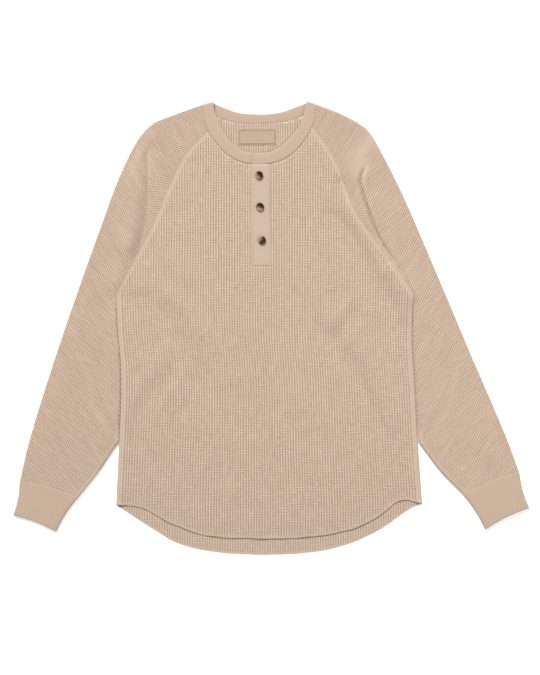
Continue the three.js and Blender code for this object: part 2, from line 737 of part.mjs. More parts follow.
// The band turns over at the neck corner, from one layer to the other
function bandFold(share, from, to) {
  const radius = (BAND_HIGH - BAND_LOW) / 2;
  const rows = [];
  for (let k = 1; k < FOLD_STEPS; k++) {
    const angle = mix(from, to, k / FOLD_STEPS);
    const height = BAND_LOW + radius + radius * Math.sin(angle);
    const row = bandRow('front', share, height);
    rows.push(row.map((point) => point.setY(point.y + radius * Math.cos(angle))));
  }
  return rows;
}

function neckband() {
  const { seam } = neckCurves.front;
  const shareAtX = (x) => fractionNearest(seam, { x, y: PLACKET.top });
  const underEnd = shareAtX(BAND_UNDER_END);
  const overEnd = shareAtX(BAND_OVER_END);
  const frontLeft = [...frontShares.left.slice(0, -1), ...frontShares.panel];
  const frontRight = [...frontShares.panel, ...frontShares.right.slice(0, -1).reverse()];
  const back = [
    ...backShares.left.slice(0, -1), ...backShares.panel, ...backShares.right.slice(0, -1).reverse(),
  ];
  const rise = (share) => {
    const beyond = seam.getPointAt(overEnd).x - seam.getPointAt(share).x;
    return mix(BAND_UNDER, BAND_HIGH, ease(beyond / BAND_RISE));
  };
  const riseShare = shareAtX(BAND_OVER_END - BAND_RISE);
  const leftShares = [...frontLeft.filter((share) => share < riseShare - LEAST_STATION_SHARE), riseShare,
    mix(riseShare, overEnd, 0.5), overEnd, mix(overEnd, underEnd, 0.5), underEnd];
  const rightShares = [overEnd, ...frontRight.filter((share) => share > overEnd + LEAST_STATION_SHARE)];
  const grid = [
    ...leftShares.reverse().map((share) => bandRow('front', share, rise(share))),
    ...bandFold(0, Math.PI / 2, -Math.PI / 2),
    ...back.map((share) => bandRow('back', share, BAND_LOW)),
    ...bandFold(1, -Math.PI / 2, Math.PI / 2),
    ...rightShares.reverse().map((share) => bandRow('front', share, BAND_HIGH)),
  ];
  return wall(grid, JERSEY);
}

// Buttons and label

function button() {
  const rim = BUTTON_RADIUS;
  const profile = [
    [0, 0], [rim - 1, 0], [rim, 0.9], [rim, 1.8], [rim - 0.6, BUTTON_HEIGHT],
    [rim - 1.6, BUTTON_HEIGHT], [rim - 2.3, BUTTON_HEIGHT - 0.7], [0, BUTTON_HEIGHT - 0.9],
  ].map(([radius, height]) => new THREE.Vector2(radius, height));
  const disc = new THREE.LatheGeometry(profile, BUTTON_SIDES);
  disc.rotateX(Math.PI / 2);
  let solid = solidOf(disc);
  for (const [signX, signY] of [[1, 1], [1, -1], [-1, 1], [-1, -1]]) {
    const drill = new THREE.CylinderGeometry(BUTTON_HOLE_RADIUS, BUTTON_HOLE_RADIUS, 3 * BUTTON_HEIGHT, 8);
    drill.rotateX(Math.PI / 2);
    drill.translate(signX * BUTTON_HOLE_OFFSET, signY * BUTTON_HOLE_OFFSET, 0);
    solid = solid.subtract(solidOf(drill));
  }
  return geometryOf(solid);
}

function labelPatch() {
  const grid = [LABEL.bottom, LABEL.top].map((y) =>
    [LABEL.left, LABEL.right].map((x) =>
      new THREE.Vector3(x, y, LOW + KNIT / 2 + SEAM_GAP + LABEL_CLOTH / 2)));
  return wall(grid, LABEL_CLOTH);
}

const shirt = new THREE.Group();
shirt.position.set(-LAID_MIDDLE.x, -LAID_MIDDLE.y, 0);

function add(name, geometry, material) {
  const mesh = new THREE.Mesh(geometry, MATERIALS[material]);
  mesh.name = name;
  shirt.add(mesh);
  return mesh;
}

add('back', backPanel(), 'waffle');
add('front', frontPanel(), 'waffle');
add('sleeve_left', sleeve('left'), 'waffle');
add('sleeve_right', sleeve('right'), 'waffle');
add('cuff_left', cuff('left'), 'jersey');
add('cuff_right', cuff('right'), 'jersey');
add('neckband', neckband(), 'jersey');
add('placket_under', placketStrip(PLACKET_UNDER_HEIGHT), 'jersey');
add('placket_top', placketStrip(PLACKET_TOP_HEIGHT), 'jersey');
BUTTON_PLACES.forEach(({ x, y }, k) => {
  const piece = add(`button_${k + 1}`, button(), 'horn');
  piece.position.set(x, y, PLACKET_TOP_HEIGHT + JERSEY / 2 + SEAM_GAP);
});
add('label', labelPatch(), 'woven');

export default shirt;
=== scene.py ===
# A raglan-sleeve henley shirt of waffle knit, laid flat front up and seen from straight above.
# Lengths are millimetres in the outlines' own coordinates, and become metres in the meshes.
import json
import math

import bpy
import numpy as np
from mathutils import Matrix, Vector

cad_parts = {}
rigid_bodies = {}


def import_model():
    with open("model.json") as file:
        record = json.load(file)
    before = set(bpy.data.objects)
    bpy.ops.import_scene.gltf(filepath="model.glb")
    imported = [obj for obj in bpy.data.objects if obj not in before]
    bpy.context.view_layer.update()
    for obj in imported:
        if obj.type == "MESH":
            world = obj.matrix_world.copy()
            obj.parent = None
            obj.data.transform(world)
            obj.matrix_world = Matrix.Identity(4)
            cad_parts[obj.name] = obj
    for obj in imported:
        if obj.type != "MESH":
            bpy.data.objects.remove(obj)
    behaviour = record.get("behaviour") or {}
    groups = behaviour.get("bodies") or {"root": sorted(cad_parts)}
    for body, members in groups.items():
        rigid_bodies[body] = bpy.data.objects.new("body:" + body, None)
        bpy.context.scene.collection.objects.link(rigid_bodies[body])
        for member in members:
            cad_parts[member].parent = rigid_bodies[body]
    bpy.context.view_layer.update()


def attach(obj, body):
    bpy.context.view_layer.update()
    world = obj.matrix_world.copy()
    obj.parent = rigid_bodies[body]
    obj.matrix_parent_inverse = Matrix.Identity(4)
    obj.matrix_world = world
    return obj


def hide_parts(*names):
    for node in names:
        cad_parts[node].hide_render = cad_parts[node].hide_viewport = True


MM = 0.001
LAID_MIDDLE = np.array([0.25, 0.38, 0.0])

# Heights of the middle of each layer, and the turn of a seamed or folded edge
KNIT = 2.0
FOLD_RADIUS = 2.0
LOW = KNIT / 2
HIGH = LOW + 2 * FOLD_RADIUS
MIDDLE = (LOW + HIGH) / 2
EDGE = FOLD_RADIUS + KNIT / 2
SEAM_TURN = math.radians(78)
CURL_START = 26.0
LOWEST_TOP_LAYER = 2.5
SEAM_GAP = -0.15

# A distance far from every seam, for what has no seam nearby
FAR = 99.0

# Cloth surface: distance of each face from the wall's middle
KNIT_FACE = 0.25
KNIT_INSIDE = 0.5
RELIEF = 0.75
TAPE_RISE = 0.25
BACK_RELIEF = 0.7 * RELIEF
EDGE_FILL = 0.6
TAPE_WIDTH = 5.6
TAPE_EDGE = 0.9
SIDE_TAPE_MORE = 1.0
SEAM_DIP = 0.05
JERSEY_FACE = 0.75
CUFF_FACE = 0.7
CUFF_INSIDE = 0.5

# Knit: size of a waffle cell on the body, and pitch and direction of the lines on the arms
BODY_CELL = 4.12
BACK_CELL = 3.85
BODY_HALF = 234.0
RIB_WANDER = 0.07
COURSE_WANDER = 0.12
COURSE_LEVEL = 0.2
COURSE_SPREAD = {"least": 0.24, "more": 0.56, "start": 0.3, "drift": 1.3}
# Sharpness of the painted shade at the bottoms of the knit's pits
PIT_SHADE_EDGE = 1.3
SLANT = {"left": math.radians(-63), "right": math.radians(62)}
SLANT_PITCH = 3.38
SLANT_COURSE = 5.9
COURSE_TURN = {"left": math.radians(52), "right": math.radians(128)}
SLEEVE_RELIEF = {"left": 1.0, "right": 0.5}

# Steps of the meshes: columns nearest the body's side seams, rows at the hem, rows of the sleeves
SIDE_COLUMNS = [0.0, 0.5, 1.1, 1.8, 2.4, 3.0]
HEM_ROWS = [0.0, 0.7, 1.5, 2.4, 3.5, 5.0]
SLEEVE_STEP = 1.2
SLEEVE_INSIDE_STEP = 4.8
EDGE_PARTS = (0.0, 0.25, 0.5, 0.75, 1.0)

# Reach of the pulls at the sleeves' ends, and of the plain knit beside the cuff
NECK_PULL = 110.0
CUFF_PULL = 50.0
CUFF_BARE = 2.5

# Where the tape on a sleeve's upper layer comes out from under the body's side
SLEEVE_TAPE = {"y": -150, "over": 25}

# Outlines of the laid shirt: each row is x, y
UNDERARM_Y = 54.0
BODY_SIDE = {
    "left": [(-244, 54), (-242, 0), (-237, -58), (-236.5, -110), (-239, -171), (-244, -279)],
    "right": [(224, 54), (222.5, -23), (226.5, -92), (231, -178), (238, -277)],
}
FRONT_HEM = [
    (-244, -279), (-206, -283), (-160, -307), (-104, -327), (-32, -332), (45, -331),
    (118, -320), (162, -302), (206, -272), (238, -277),
]
BACK_HEM = [
    (-244, -279), (-187, -316), (-147, -339), (-94, -352), (6, -357), (95, -348),
    (162, -323), (221, -284), (238, -277),
]
FRONT_RAGLAN = {
    "left": [(-98.5, 311.5), (-133, 276), (-158, 227), (-188, 159), (-218, 104), (-244, 54)],
    "right": [
        (65, 318), (94.5, 276), (112, 240), (128, 192), (155, 151), (185, 111), (224, 54),
    ],
}
BACK_RAGLAN = {
    "left": [(-79, 330.6), (-112, 290), (-146, 235), (-180, 170), (-212, 110), (-244, 54)],
    "right": [(41, 331.4), (78, 290), (112, 235), (150, 170), (186, 110), (224, 54)],
}
NECK = {
    "front": {
        "seam": [
            (-107, 350.1), (-107.3, 338), (-102, 318), (-92, 299), (-71, 275), (-45, 261),
            (-2, 259), (27, 270), (50, 292), (65, 318), (72, 350.1),
        ],
        "free": [
            (-89.3, 353.8), (-89, 344), (-84, 330), (-76, 312), (-63, 293), (-42, 278.5),
            (-4, 277), (16, 287), (37, 308), (48, 326), (56, 355.1),
        ],
    },
    "back": {
        "seam": [
            (-107, 350.1), (-98, 340), (-77, 329.7), (-50, 323), (-19.5, 322.5), (11, 324),
            (35, 329), (61, 340), (72, 350.1),
        ],
        "free": [
            (-89.3, 353.8), (-71, 346.5), (-52, 340), (-20.5, 337.4), (5, 338.6), (24, 343),
            (42.5, 350), (56, 355.1),
        ],
    },
}
SLEEVE_OUTER = {
    "left": [
        (-107, 353), (-146, 339), (-184, 324), (-204, 306), (-235, 249), (-271, 154),
        (-337, -35), (-381, -176), (-396.6, -241.6),
    ],
    "right": [
        (72, 353), (118, 334), (153, 312), (173, 280), (205, 217), (233, 154), (313, -35),
        (373, -176), (391.5, -226.5),
    ],
}
SLEEVE_BESIDE_BODY = {
    "left": [
        (-244, 54), (-242, 0), (-237, -58), (-236.5, -110), (-238.5, -160), (-239.2, -178),
    ],
    "right": [(224, 54), (222.5, -23), (226.5, -92), (230.5, -165), (232, -181)],
}
SLEEVE_FREE_EDGE = {
    "left": [(-239.2, -178), (-270, -225), (-303.4, -267)],
    "right": [(232, -181), (266, -226), (302.2, -262.9)],
}
ACROSS_FROM_UNDERARM = {"left": (-299, 73), "right": (268, 72)}
SLEEVE_TO_BODY = {"left": 0.2, "right": 0.9}
CUFF = {
    "left": {
        "seam_outer": (-396.6, -241.6), "seam_inner": (-303.4, -267),
        "end_outer": (-406.3, -294), "end_inner": (-338, -319.7),
    },
    "right": {
        "seam_outer": (391.5, -226.5), "seam_inner": (302.2, -262.9),
        "end_outer": (407, -282.5), "end_inner": (337, -317),
    },
}
CUFF_WAIST = 2.5
CUFF_SEAM_BOW = -3.0
CUFF_END_BOW = -2.6
CUFF_GAP = -0.7
CUFF_DENT = {"depth": 0.7, "place": 0.17, "width": 0.05, "least": 0.4}
CUFF_RIPPLE = {"height": 0.3, "around": 9, "along": 2.1}

# Soft folds of the upper layer: height, width and path
FOLDS = [
    (-2.4, 9, [(110, 228), (144, 164), (180, 104)]),
    (-1.8, 5, [(-192, 270), (-190, 235), (-190, 190), (-196, 148)]),
    (1.2, 8, [(-181, 268), (-180, 235), (-182, 195)]),
    (-1.0, 8, [(-167, 276), (-165, 222)]),
    (-0.9, 9, [(201, 4), (206, -40), (205, -88)]),
    (0.5, 13, [(165, 240), (186, 180)]),
    (0.6, 24, [(-300, 40), (-322, -30), (-348, -110), (-370, -200)]),
    (1.0, 24, [(252, 60), (276, -20), (308, -110), (340, -200)]),
    (0.8, 13, [(-72, -262), (-78, -310)]),
    (0.8, 12, [(-22, -270), (-20, -316)]),
    (0.9, 13, [(34, -258), (40, -312)]),
    (0.7, 12, [(84, -262), (94, -306)]),
]

# Soft steps, at which the cloth falls towards the left side of the path as it runs: drop, width, path
STEPS = [
    (1.0, 17, [(-128, -14), (-143, 18), (-175, 40), (-206, 56), (-241, 52)]),
    (0.8, 18, [(-98, -92), (-110, -50), (-122, -14)]),
    (0.8, 13, [(-152, -48), (-191, -90), (-217, -128), (-229, -172)]),
    (0.6, 13, [(-124, -62), (-150, -116)]),
    (0.7, 13, [(-150, 80), (-172, 108), (-192, 140)]),
    (1.5, 14, [(178, -150), (172, -132), (159, -98), (140, -58), (117, -28), (101, -2)]),
    (0.9, 10, [(124, 26), (110, 10), (98, -4)]),
    (3.2, 17, [(206, 10), (200, 42), (181, 74), (159, 110), (137, 146), (115, 178)]),
    (3.6, 13, [(-199, 272), (-198, 240), (-199, 205), (-203, 170), (-211, 130)]),
    (1.2, 12, [(-212, 120), (-220, 98), (-236, 70)]),
]
FOLD_FADE = 20.0

# The deep crease where the right sleeve is laid over its seam, with a shelf on one side and a roll
# on the other, whose places are measured across it
CREASE = [
    (146, 250), (143, 230), (148, 206), (156, 183), (163, 162), (172, 140), (184, 120), (196, 104),
    (207, 87), (217, 68), (223, 50),
]
CREASE_TOP = {"y": 258.0, "over": 24.0}
CREASE_END = {"y": 100.0, "over": 75.0, "least": 0.15}
CREASE_DEPTH = 4.8
CREASE_WIDTH = 3.0
CREASE_FLOOR = 2.2
SHELF = {"depth": 0.9, "place": -3.5, "width": 3.5}
ROLL = {"height": 3.2, "place": 5.0, "width": 5.5, "over": 2.5}
ROLL_LEAN = {"reach": 3.0, "place": 2.6, "width": 1.6}

# Where each sleeve's knit turns from level rows to slanting ones: rows of y, x
ROWS_END = {
    "left": [(158, -185), (176, -194), (202, -194), (257, -191), (320, -190)],
    "right": [(140, 168), (162, 158), (183, 150), (206, 143), (228, 137), (276, 134), (304, 158)],
}
ROWS_MIDDLE = {"left": -110, "right": 83}
ROWS_BEND = {"bend": 0.0038, "top": 330, "over": 220}
ROWS_CHANGE_OVER = 12
ROWS_TURN = {"place": 3, "width": 14, "y": 225, "over": 30}
ROWS_TURNING = {"left": 0.25, "right": 0.7}
ROW_PITCH = 3.4
DASH_PITCH = {"left": 9.2, "right": 7.3}

# Front hem: how it sinks to the surface, and its rolled edge
HEM_SETTLE = 150.0
HEM_DROP = 1.6
HEM_ROLL = 0.45
HEM_CLOSE = 0.8
HEM_CLOSE_OVER = 30.0
HEM_WAVE = {"long": 31.0, "short": 53.0, "shift": 1.3, "share": 0.6}
HEM_THIN = 0.4
HEM_THIN_OVER = 12.0
HEM_CREST = 1.9
HEM_ROUND = 2.6

# Placket, neckband, buttons and label
PLACKET = {
    "top": 258.3, "bottom": 97.0,
    "left_top": -30.3, "left_bottom": -29.3, "right_top": -2.4, "right_bottom": 1.9,
}
SLIT = {"left": -28.5, "right": -3.2, "bottom": 99.5}
SLIT_LIP = 0.05
UNDER_PLACKET = {"margin": 0.8, "over": 1.5, "drop": 1.0}
NECK_DIP = {"depth": 0.9, "width": 1.5, "bare": 1.8}
PLACKET_HEIGHT = 5.3
PLACKET_THICK = 1.1
PLACKET_SLOPE = 0.45
PLACKET_UNDER = {"height": 3.6, "thick": 1.2, "inset": 0.8}
BAND_LOW = 0.95
BAND_HIGH = 5.2
BAND_UNDER = 3.5
BAND_OVER_END = -30.0
BAND_UNDER_END = -3.0
BAND_RISE = 12.0
BAND_LAP = 5.0
BUTTON_PLACES = [(-18.7, 240.3), (-17.3, 190.6), (-14.5, 138.3)]
PALE_SIDES = [math.radians(215), math.radians(245), math.radians(150)]
BUTTON_RADIUS = 6.25
BUTTON_HEIGHT = 2.8
BUTTON_BASE = 6.5
BUTTON_HOLE = 1.25
LABEL = {"left": -52.0, "right": 8.0, "bottom": 289.0, "top": 313.0, "height": 2.15}

# Sewing: distance of the rows of stitches from the raglan and side seams and the placket's edge
RAGLAN_ROWS = (1.5, 6.0)
SIDE_ROW = 4.6
PLACKET_ROW = 1.6
PLACKET_BOX = (1.4, 8.5)

# Colours
SAND = (0.412, 0.308, 0.229, 1.0)
SAND_PALE = (0.517, 0.405, 0.313, 1.0)
# Painted shade: the dark colour drawn into the knit's pits
SAND_PIT_SHADE = (0.180, 0.116, 0.076, 1.0)
TAPE_SAND = (0.426, 0.322, 0.243, 1.0)
JERSEY_SAND = (0.414, 0.315, 0.238, 1.0)
JERSEY_DEEP = (0.372, 0.277, 0.205, 1.0)
PLACKET_SAND = (0.395, 0.301, 0.228, 1.0)
LABEL_SAND = (0.388, 0.288, 0.214, 1.0)
LABEL_DEEP = (0.350, 0.256, 0.186, 1.0)
FRAME_BROWN = (0.230, 0.150, 0.105, 1.0)
HORN_DARK = (0.034, 0.015, 0.005, 1.0)
HORN_PALE = (0.290, 0.215, 0.155, 1.0)
FLOOR_COLOURS = [(0.90, 0.90, 0.90, 1.0), (0.92, 0.92, 0.92, 1.0)]
WHITE = (1.0, 1.0, 1.0, 1.0)
THREAD_BROWN = (0.075, 0.045, 0.026, 1.0)

# Tone of the knit: where each noise is read, its scale and detail, and its share of the tone
KNIT_TONE = {
    "patches": {"place": "object", "scale": 28.0, "detail": 3.0, "share": 0.08},
    "yarn": {"place": "object", "scale": 1500.0, "detail": 2.0, "share": 0.17},
    "loops": {"place": "object", "scale": 330.0, "detail": 2.0, "share": 0.25},
    "ribs": {"place": "ribs", "scale": 1.0, "detail": 1.0, "share": 0.25},
    "courses": {"place": "courses", "scale": 1.3, "detail": 1.0, "share": 0.25},
}
RIB_STRETCH = 0.16
COURSE_STRETCH = 0.3
TONE_START = 0.39
TONE_GAIN = 4.5
YARN_BUMP = 0.35

# Painted shade in the knit's pits: how dark it is drawn on the body, with what its courses add, and on
# the sleeves
PIT_SHADE = {"body": 0.54, "course": 0.5, "shoulder": 0.77, "arm": 0.61}

# Surfaces: strength and depth in metres of the bump, roughness, gloss and sheen
SURFACE = {
    "knit": {"bump": 0.5, "depth": 0.0005, "roughness": 0.93, "gloss": 0.2, "sheen": 0.08},
    "jersey": {"bump": 0.35, "depth": 0.0003, "roughness": 0.9, "gloss": 0.2, "sheen": 0.12},
    "horn": {"bump": 0.1, "depth": 0.0002, "roughness": 0.42, "gloss": 0.05, "sheen": 0.0},
}
SHEEN_ROUGHNESS = 0.6

# Camera and light
CAMERA_LENS = 90.0
CAMERA_SENSOR = 36.0
CAMERA_VIEW_HEIGHT = 1.0631
CAMERA_TARGET = (-0.0018, -0.0154, 0.005)
WORLD_LIGHT = 0.55
FLOOR_GLOW = 0.25
KEY = {"place": (-1.9, 5.75, 5.0), "target": (0, 0, 0), "size": 2.2, "power": 878.0}
FILL = {"place": (1.7, -0.6, 1.6), "target": (0.25, -0.2, 0), "size": 1.2, "power": 13.0}


# Sums and lines

def ease(value):
    share = np.clip(value, 0.0, 1.0)
    return share * share * (3 - 2 * share)


def mix(a, b, share):
    return a + (b - a) * share


def hump(value, place, width):
    """1 at the place, falling off smoothly on both sides of it."""
    return np.exp(-(((value - place) / width) ** 2))


def unit(vectors):
    vectors = np.asarray(vectors, float)
    return vectors / np.linalg.norm(vectors, axis=-1, keepdims=True)


def smooth(rows, steps=40):
    """Closely spaced points of a centripetal Catmull-Rom line through the rows."""
    points = np.array(rows, float)
    padded = np.vstack([2 * points[0] - points[1], points, 2 * points[-1] - points[-2]])
    t = np.linspace(0, 1, steps, endpoint=False)[:, None]
    pieces = []
    for p0, p1, p2, p3 in zip(padded, padded[1:], padded[2:], padded[3:]):
        d0, d1, d2 = (math.sqrt(math.dist(a, b)) for a, b in ((p0, p1), (p1, p2), (p2, p3)))
        m1 = ((p1 - p0) / d0 - (p2 - p0) / (d0 + d1) + (p2 - p1) / d1) * d1
        m2 = ((p2 - p1) / d1 - (p3 - p1) / (d1 + d2) + (p3 - p2) / d2) * d1
        pieces.append(
            (2 * t**3 - 3 * t**2 + 1) * p1 + (t**3 - 2 * t**2 + t) * m1
            + (3 * t**2 - 2 * t**3) * p2 + (t**3 - t**2) * m2
        )
    return np.vstack(pieces + [points[-1:]])


def run_of(line):
    steps = np.linalg.norm(np.diff(line, axis=0), axis=1)
    return np.concatenate([[0.0], np.cumsum(steps)])


def at_share(line, share):
    """Points at these shares of the line's length."""
    run = run_of(line)
    return np.stack([np.interp(share, run / run[-1], line[:, k]) for k in range(2)], axis=-1)


def nearest_share(line, point):
    run = run_of(line)
    return run[np.argmin(np.hypot(line[:, 0] - point[0], line[:, 1] - point[1]))] / run[-1]


def about_line(x, y, line):
    """Distance from a line of points, offset to its left side as it runs, and the way across it."""
    nearest = np.full(np.shape(x), np.inf)
    offset = np.zeros(np.shape(x))
    across = np.zeros(np.shape(x) + (2,))
    for (ax, ay), (bx, by) in zip(line[:-1], line[1:]):
        length = math.hypot(bx - ax, by - ay)
        share = np.clip(((x - ax) * (bx - ax) + (y - ay) * (by - ay)) / length**2, 0, 1)
        distance = np.hypot(x - mix(ax, bx, share), y - mix(ay, by, share))
        aside = ((bx - ax) * (y - ay) - (by - ay) * (x - ax)) / length
        closer = distance < nearest
        nearest = np.where(closer, distance, nearest)
        offset = np.where(closer, aside, offset)
        across[closer] = ((ay - by) / length, (bx - ax) / length)
    return nearest, offset, across


def distance_to_line(x, y, line):
    return about_line(x, y, line)[0]


def drift(x, y, size, seed):
    """A slow wander between about -1 and 1, as the sum of a few waves across the cloth."""
    chance = np.random.default_rng(seed)
    total = np.zeros(np.shape(x))
    for _ in range(7):
        turn = chance.uniform(0, 2 * math.pi)
        length = size * chance.uniform(0.7, 1.8)
        phase = chance.uniform(0, 2 * math.pi)
        total += np.sin(2 * math.pi * (x * math.cos(turn) + y * math.sin(turn)) / length + phase)
    return total / 2.6


# Folds of the laid cloth

def crease_form(x, y):
    """Rise of the cloth at the crease, and how far the roll beside it leans over it."""
    nearest, offset, across = about_line(x, y, smooth(CREASE, 6))
    aside = nearest * np.sign(offset)
    below_top = ease((CREASE_TOP["y"] - y) / CREASE_TOP["over"])
    above_end = ease((y - CREASE_END["y"]) / CREASE_END["over"])
    full = below_top * mix(CREASE_END["least"], 1.0, above_end)
    trough = -CREASE_DEPTH * hump(aside, 0, CREASE_WIDTH)
    trough = trough - SHELF["depth"] * hump(aside, SHELF["place"], SHELF["width"])
    roll = ROLL["height"] * hump(aside, ROLL["place"], ROLL["width"]) * ease(aside / ROLL["over"])
    lean = ROLL_LEAN["reach"] * hump(aside, ROLL_LEAN["place"], ROLL_LEAN["width"]) * (aside > 0)
    return full * (trough + roll), -(full * lean)[..., None] * across


def fold_height(x, y):
    height = np.zeros(np.shape(x))
    for rise, width, path in FOLDS:
        height += rise * hump(distance_to_line(x, y, path), 0, width)
    for drop, width, path in STEPS:
        nearest, offset, _ = about_line(x, y, smooth(path, 3))
        height -= drop * (offset / width * np.exp((1 - (nearest / width) ** 2) / 2))
    return height


# Body outline: a column of the knit keeps its share of the half width, from hem to top

SIDE_LINE = {side: smooth(rows)[::-1] for side, rows in BODY_SIDE.items()}
NECK_LINE = {
    layer: {edge: smooth(rows) for edge, rows in edges.items()} for layer, edges in NECK.items()
}


def side_x(side, y):
    line = SIDE_LINE[side]
    return np.interp(np.minimum(y, UNDERARM_Y), line[:, 1], line[:, 0])


def body_middle(y):
    return (side_x("left", y) + side_x("right", y)) / 2


def body_half(y):
    return (side_x("right", y) - side_x("left", y)) / 2


def share_of(line):
    return (line[:, 0] - body_middle(line[:, 1])) / body_half(line[:, 1])


def raglan_line(layer, side):
    rows = (FRONT_RAGLAN if layer == "front" else BACK_RAGLAN)[side]
    seam = NECK_LINE[layer]["seam"]
    start = at_share(seam, nearest_share(seam, rows[0]))
    return smooth([tuple(start)] + rows[1:])


RAGLAN_LINE = {
    (layer, side): raglan_line(layer, side)
    for layer in ("front", "back")
    for side in ("left", "right")
}


def neck_part(layer):
    seam = NECK_LINE[layer]["seam"]
    ends = [nearest_share(seam, RAGLAN_LINE[layer, side][0]) for side in ("left", "right")]
    return at_share(seam, np.linspace(ends[0], ends[1], 160))


def top_line(layer):
    left = RAGLAN_LINE[layer, "left"][::-1]
    return np.vstack([left[:-1], neck_part(layer), RAGLAN_LINE[layer, "right"][1:]])


def height_over(line, share):
    """The line's y where it crosses the column with that share."""
    along = np.maximum.accumulate(share_of(line))
    return np.interp(share, along, line[:, 1])


def curl_at(y):
    return ease((UNDERARM_Y - y) / CURL_START)


# Meshes

# What each point of a cloth carries for its material, and with how many numbers
MAP_SIZES = {"cells": 2, "rows_at": 2, "weave": 1, "slant": 1, "course": 1}


def grid_triangles(ids):
    a, b = ids[:-1, :-1].ravel(), ids[:-1, 1:].ravel()
    c, d = ids[1:, 1:].ravel(), ids[1:, :-1].ravel()
    faces = np.concatenate([np.stack([a, b, c], 1), np.stack([a, c, d], 1)])
    real = (faces[:, 0] != faces[:, 1]) & (faces[:, 1] != faces[:, 2]) & (faces[:, 2] != faces[:, 0])
    return faces[real]


def rim(points, outer, inner):
    """Triangles between two edges that run side by side, outer face first."""
    def shares(ids):
        run = run_of(points[ids])
        return run / run[-1]

    outer_share, inner_share = shares(outer), shares(inner)
    faces = []
    k = m = 0
    while k < len(outer) - 1 or m < len(inner) - 1:
        next_outer = outer_share[k + 1] if k < len(outer) - 1 else 2.0
        next_inner = inner_share[m + 1] if m < len(inner) - 1 else 2.0
        if next_outer <= next_inner:
            faces.append((outer[k + 1], outer[k], inner[m]))
            k += 1
        else:
            faces.append((outer[k], inner[m], inner[m + 1]))
            m += 1
    return faces


def edges_of(ids):
    """The four edges of a grid whose spare points are merged, in the order of its faces."""
    def distinct(seq):
        return [v for k, v in enumerate(seq) if k == 0 or v != seq[k - 1]]

    return [distinct(list(edge)) for edge in (ids[0], ids[:, -1], ids[-1, ::-1], ids[::-1, 0])]


def merged_ids(shape, low, high, kept):
    """Grid numbering in which a column's rows below low or above high are one point; the first
    kept rows stay apart."""
    rows = np.arange(shape[0])[:, None]
    used = np.where(rows < kept, rows, np.clip(rows, low, high))
    return used * shape[1] + np.arange(shape[1])


class Sheet:
    """One face of a cloth: a grid of points, of which each column uses rows low to high."""

    def __init__(self, points, low=0, high=None, kept=0, **maps):
        rows, columns = points.shape[:2]
        self.points = points
        self.ids = merged_ids((rows, columns), low, rows - 1 if high is None else high, kept)
        maps.setdefault("rows_at", maps.get("cells"))
        self.maps = {}
        for key, size in MAP_SIZES.items():
            given = maps.get(key)
            given = np.zeros((rows, columns, size)) if given is None else given
            self.maps[key] = given.reshape(-1, size)


def signed_volume(points, faces):
    a, b, c = (points[faces[:, k]] for k in range(3))
    return float(np.einsum("ij,ij->i", a, np.cross(b, c)).sum() / 6)


def make_object(name, points, faces, material, maps=None, values=None, flat=0):
    """A smooth mesh, from points in millimetres; its last faces may be flat ones."""
    used, faces = np.unique(faces, return_inverse=True)
    faces = faces.reshape(-1, 3)
    points = points[used]
    if signed_volume(points, faces) < 0:
        faces = faces[:, ::-1]
    mesh = bpy.data.meshes.new(name)
    mesh.vertices.add(len(points))
    mesh.vertices.foreach_set("co", ((points - LAID_MIDDLE) * MM).astype(np.float32).ravel())
    mesh.loops.add(faces.size)
    mesh.loops.foreach_set("vertex_index", faces.astype(np.int32).ravel())
    mesh.polygons.add(len(faces))
    mesh.polygons.foreach_set("loop_start", np.arange(0, faces.size, 3, dtype=np.int32))
    mesh.polygons.foreach_set("use_smooth", np.arange(len(faces)) < len(faces) - flat)
    for key, value in (maps or {}).items():
        layer = mesh.uv_layers.new(name=key)
        layer.data.foreach_set("uv", value[used][faces.ravel()].astype(np.float32).ravel())
    for key, value in (values or {}).items():
        attribute = mesh.attributes.new(key, "FLOAT", "POINT")
        attribute.data.foreach_set("value", value[used].astype(np.float32))
    mesh.update()
    mesh.validate()
    mesh.materials.append(material)
    obj = bpy.data.objects.new(name, mesh)
    bpy.context.scene.collection.objects.link(obj)
    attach(obj, "root")
    return obj


def cloth(name, outer, inner, material):
    """A closed thin shell between a finely made face and a plain one."""
    shift = outer.points.shape[0] * outer.points.shape[1]
    points = np.vstack([outer.points.reshape(-1, 3), inner.points.reshape(-1, 3)])
    inner_ids = inner.ids + shift
    faces = [grid_triangles(outer.ids), grid_triangles(inner_ids)[:, ::-1]]
    for outer_edge, inner_edge in zip(edges_of(outer.ids), edges_of(inner_ids)):
        faces.append(np.array(rim(points, outer_edge, inner_edge)))

    both = {key: np.concatenate([outer.maps[key], inner.maps[key]]) for key in MAP_SIZES}
    maps = {"Cells": both["cells"], "Rows": both["rows_at"]}
    values = {key: both[key][:, 0] for key in ("weave", "slant", "course")}
    flat = sum(len(part) for part in faces[2:])
    return make_object(name, points, np.vstack(faces), material, maps, values, flat)


def tube(name, rings, material, values=None, crisp=False):
    """A closed skin over rings of points; each end is closed by a fan."""
    count, around = rings.shape[:2]
    points = rings.reshape(-1, 3)
    ids = np.arange(count * around).reshape(count, around)
    ids = np.hstack([ids, ids[:, :1]])
    faces = [grid_triangles(ids)]
    centres = np.stack([rings[0].mean(0), rings[-1].mean(0)])
    points = np.vstack([points, centres])
    first, last = count * around, count * around + 1
    start, end = ids[0], ids[-1]
    faces.append(np.stack([start[1:], start[:-1], np.full(around, first)], 1))
    faces.append(np.stack([end[:-1], end[1:], np.full(around, last)], 1))
    values = values(points) if values else None
    faces = np.vstack(faces)
    return make_object(name, points, faces, material, values=values, flat=crisp * len(faces))


# Materials

def node(tree, kind, inputs=None, **settings):
    made = tree.nodes.new(kind)
    for key, value in settings.items():
        setattr(made, key, value)
    for key, value in (inputs or {}).items():
        if isinstance(value, bpy.types.NodeSocket):
            tree.links.new(value, made.inputs[key])
        else:
            made.inputs[key].default_value = value
    return made


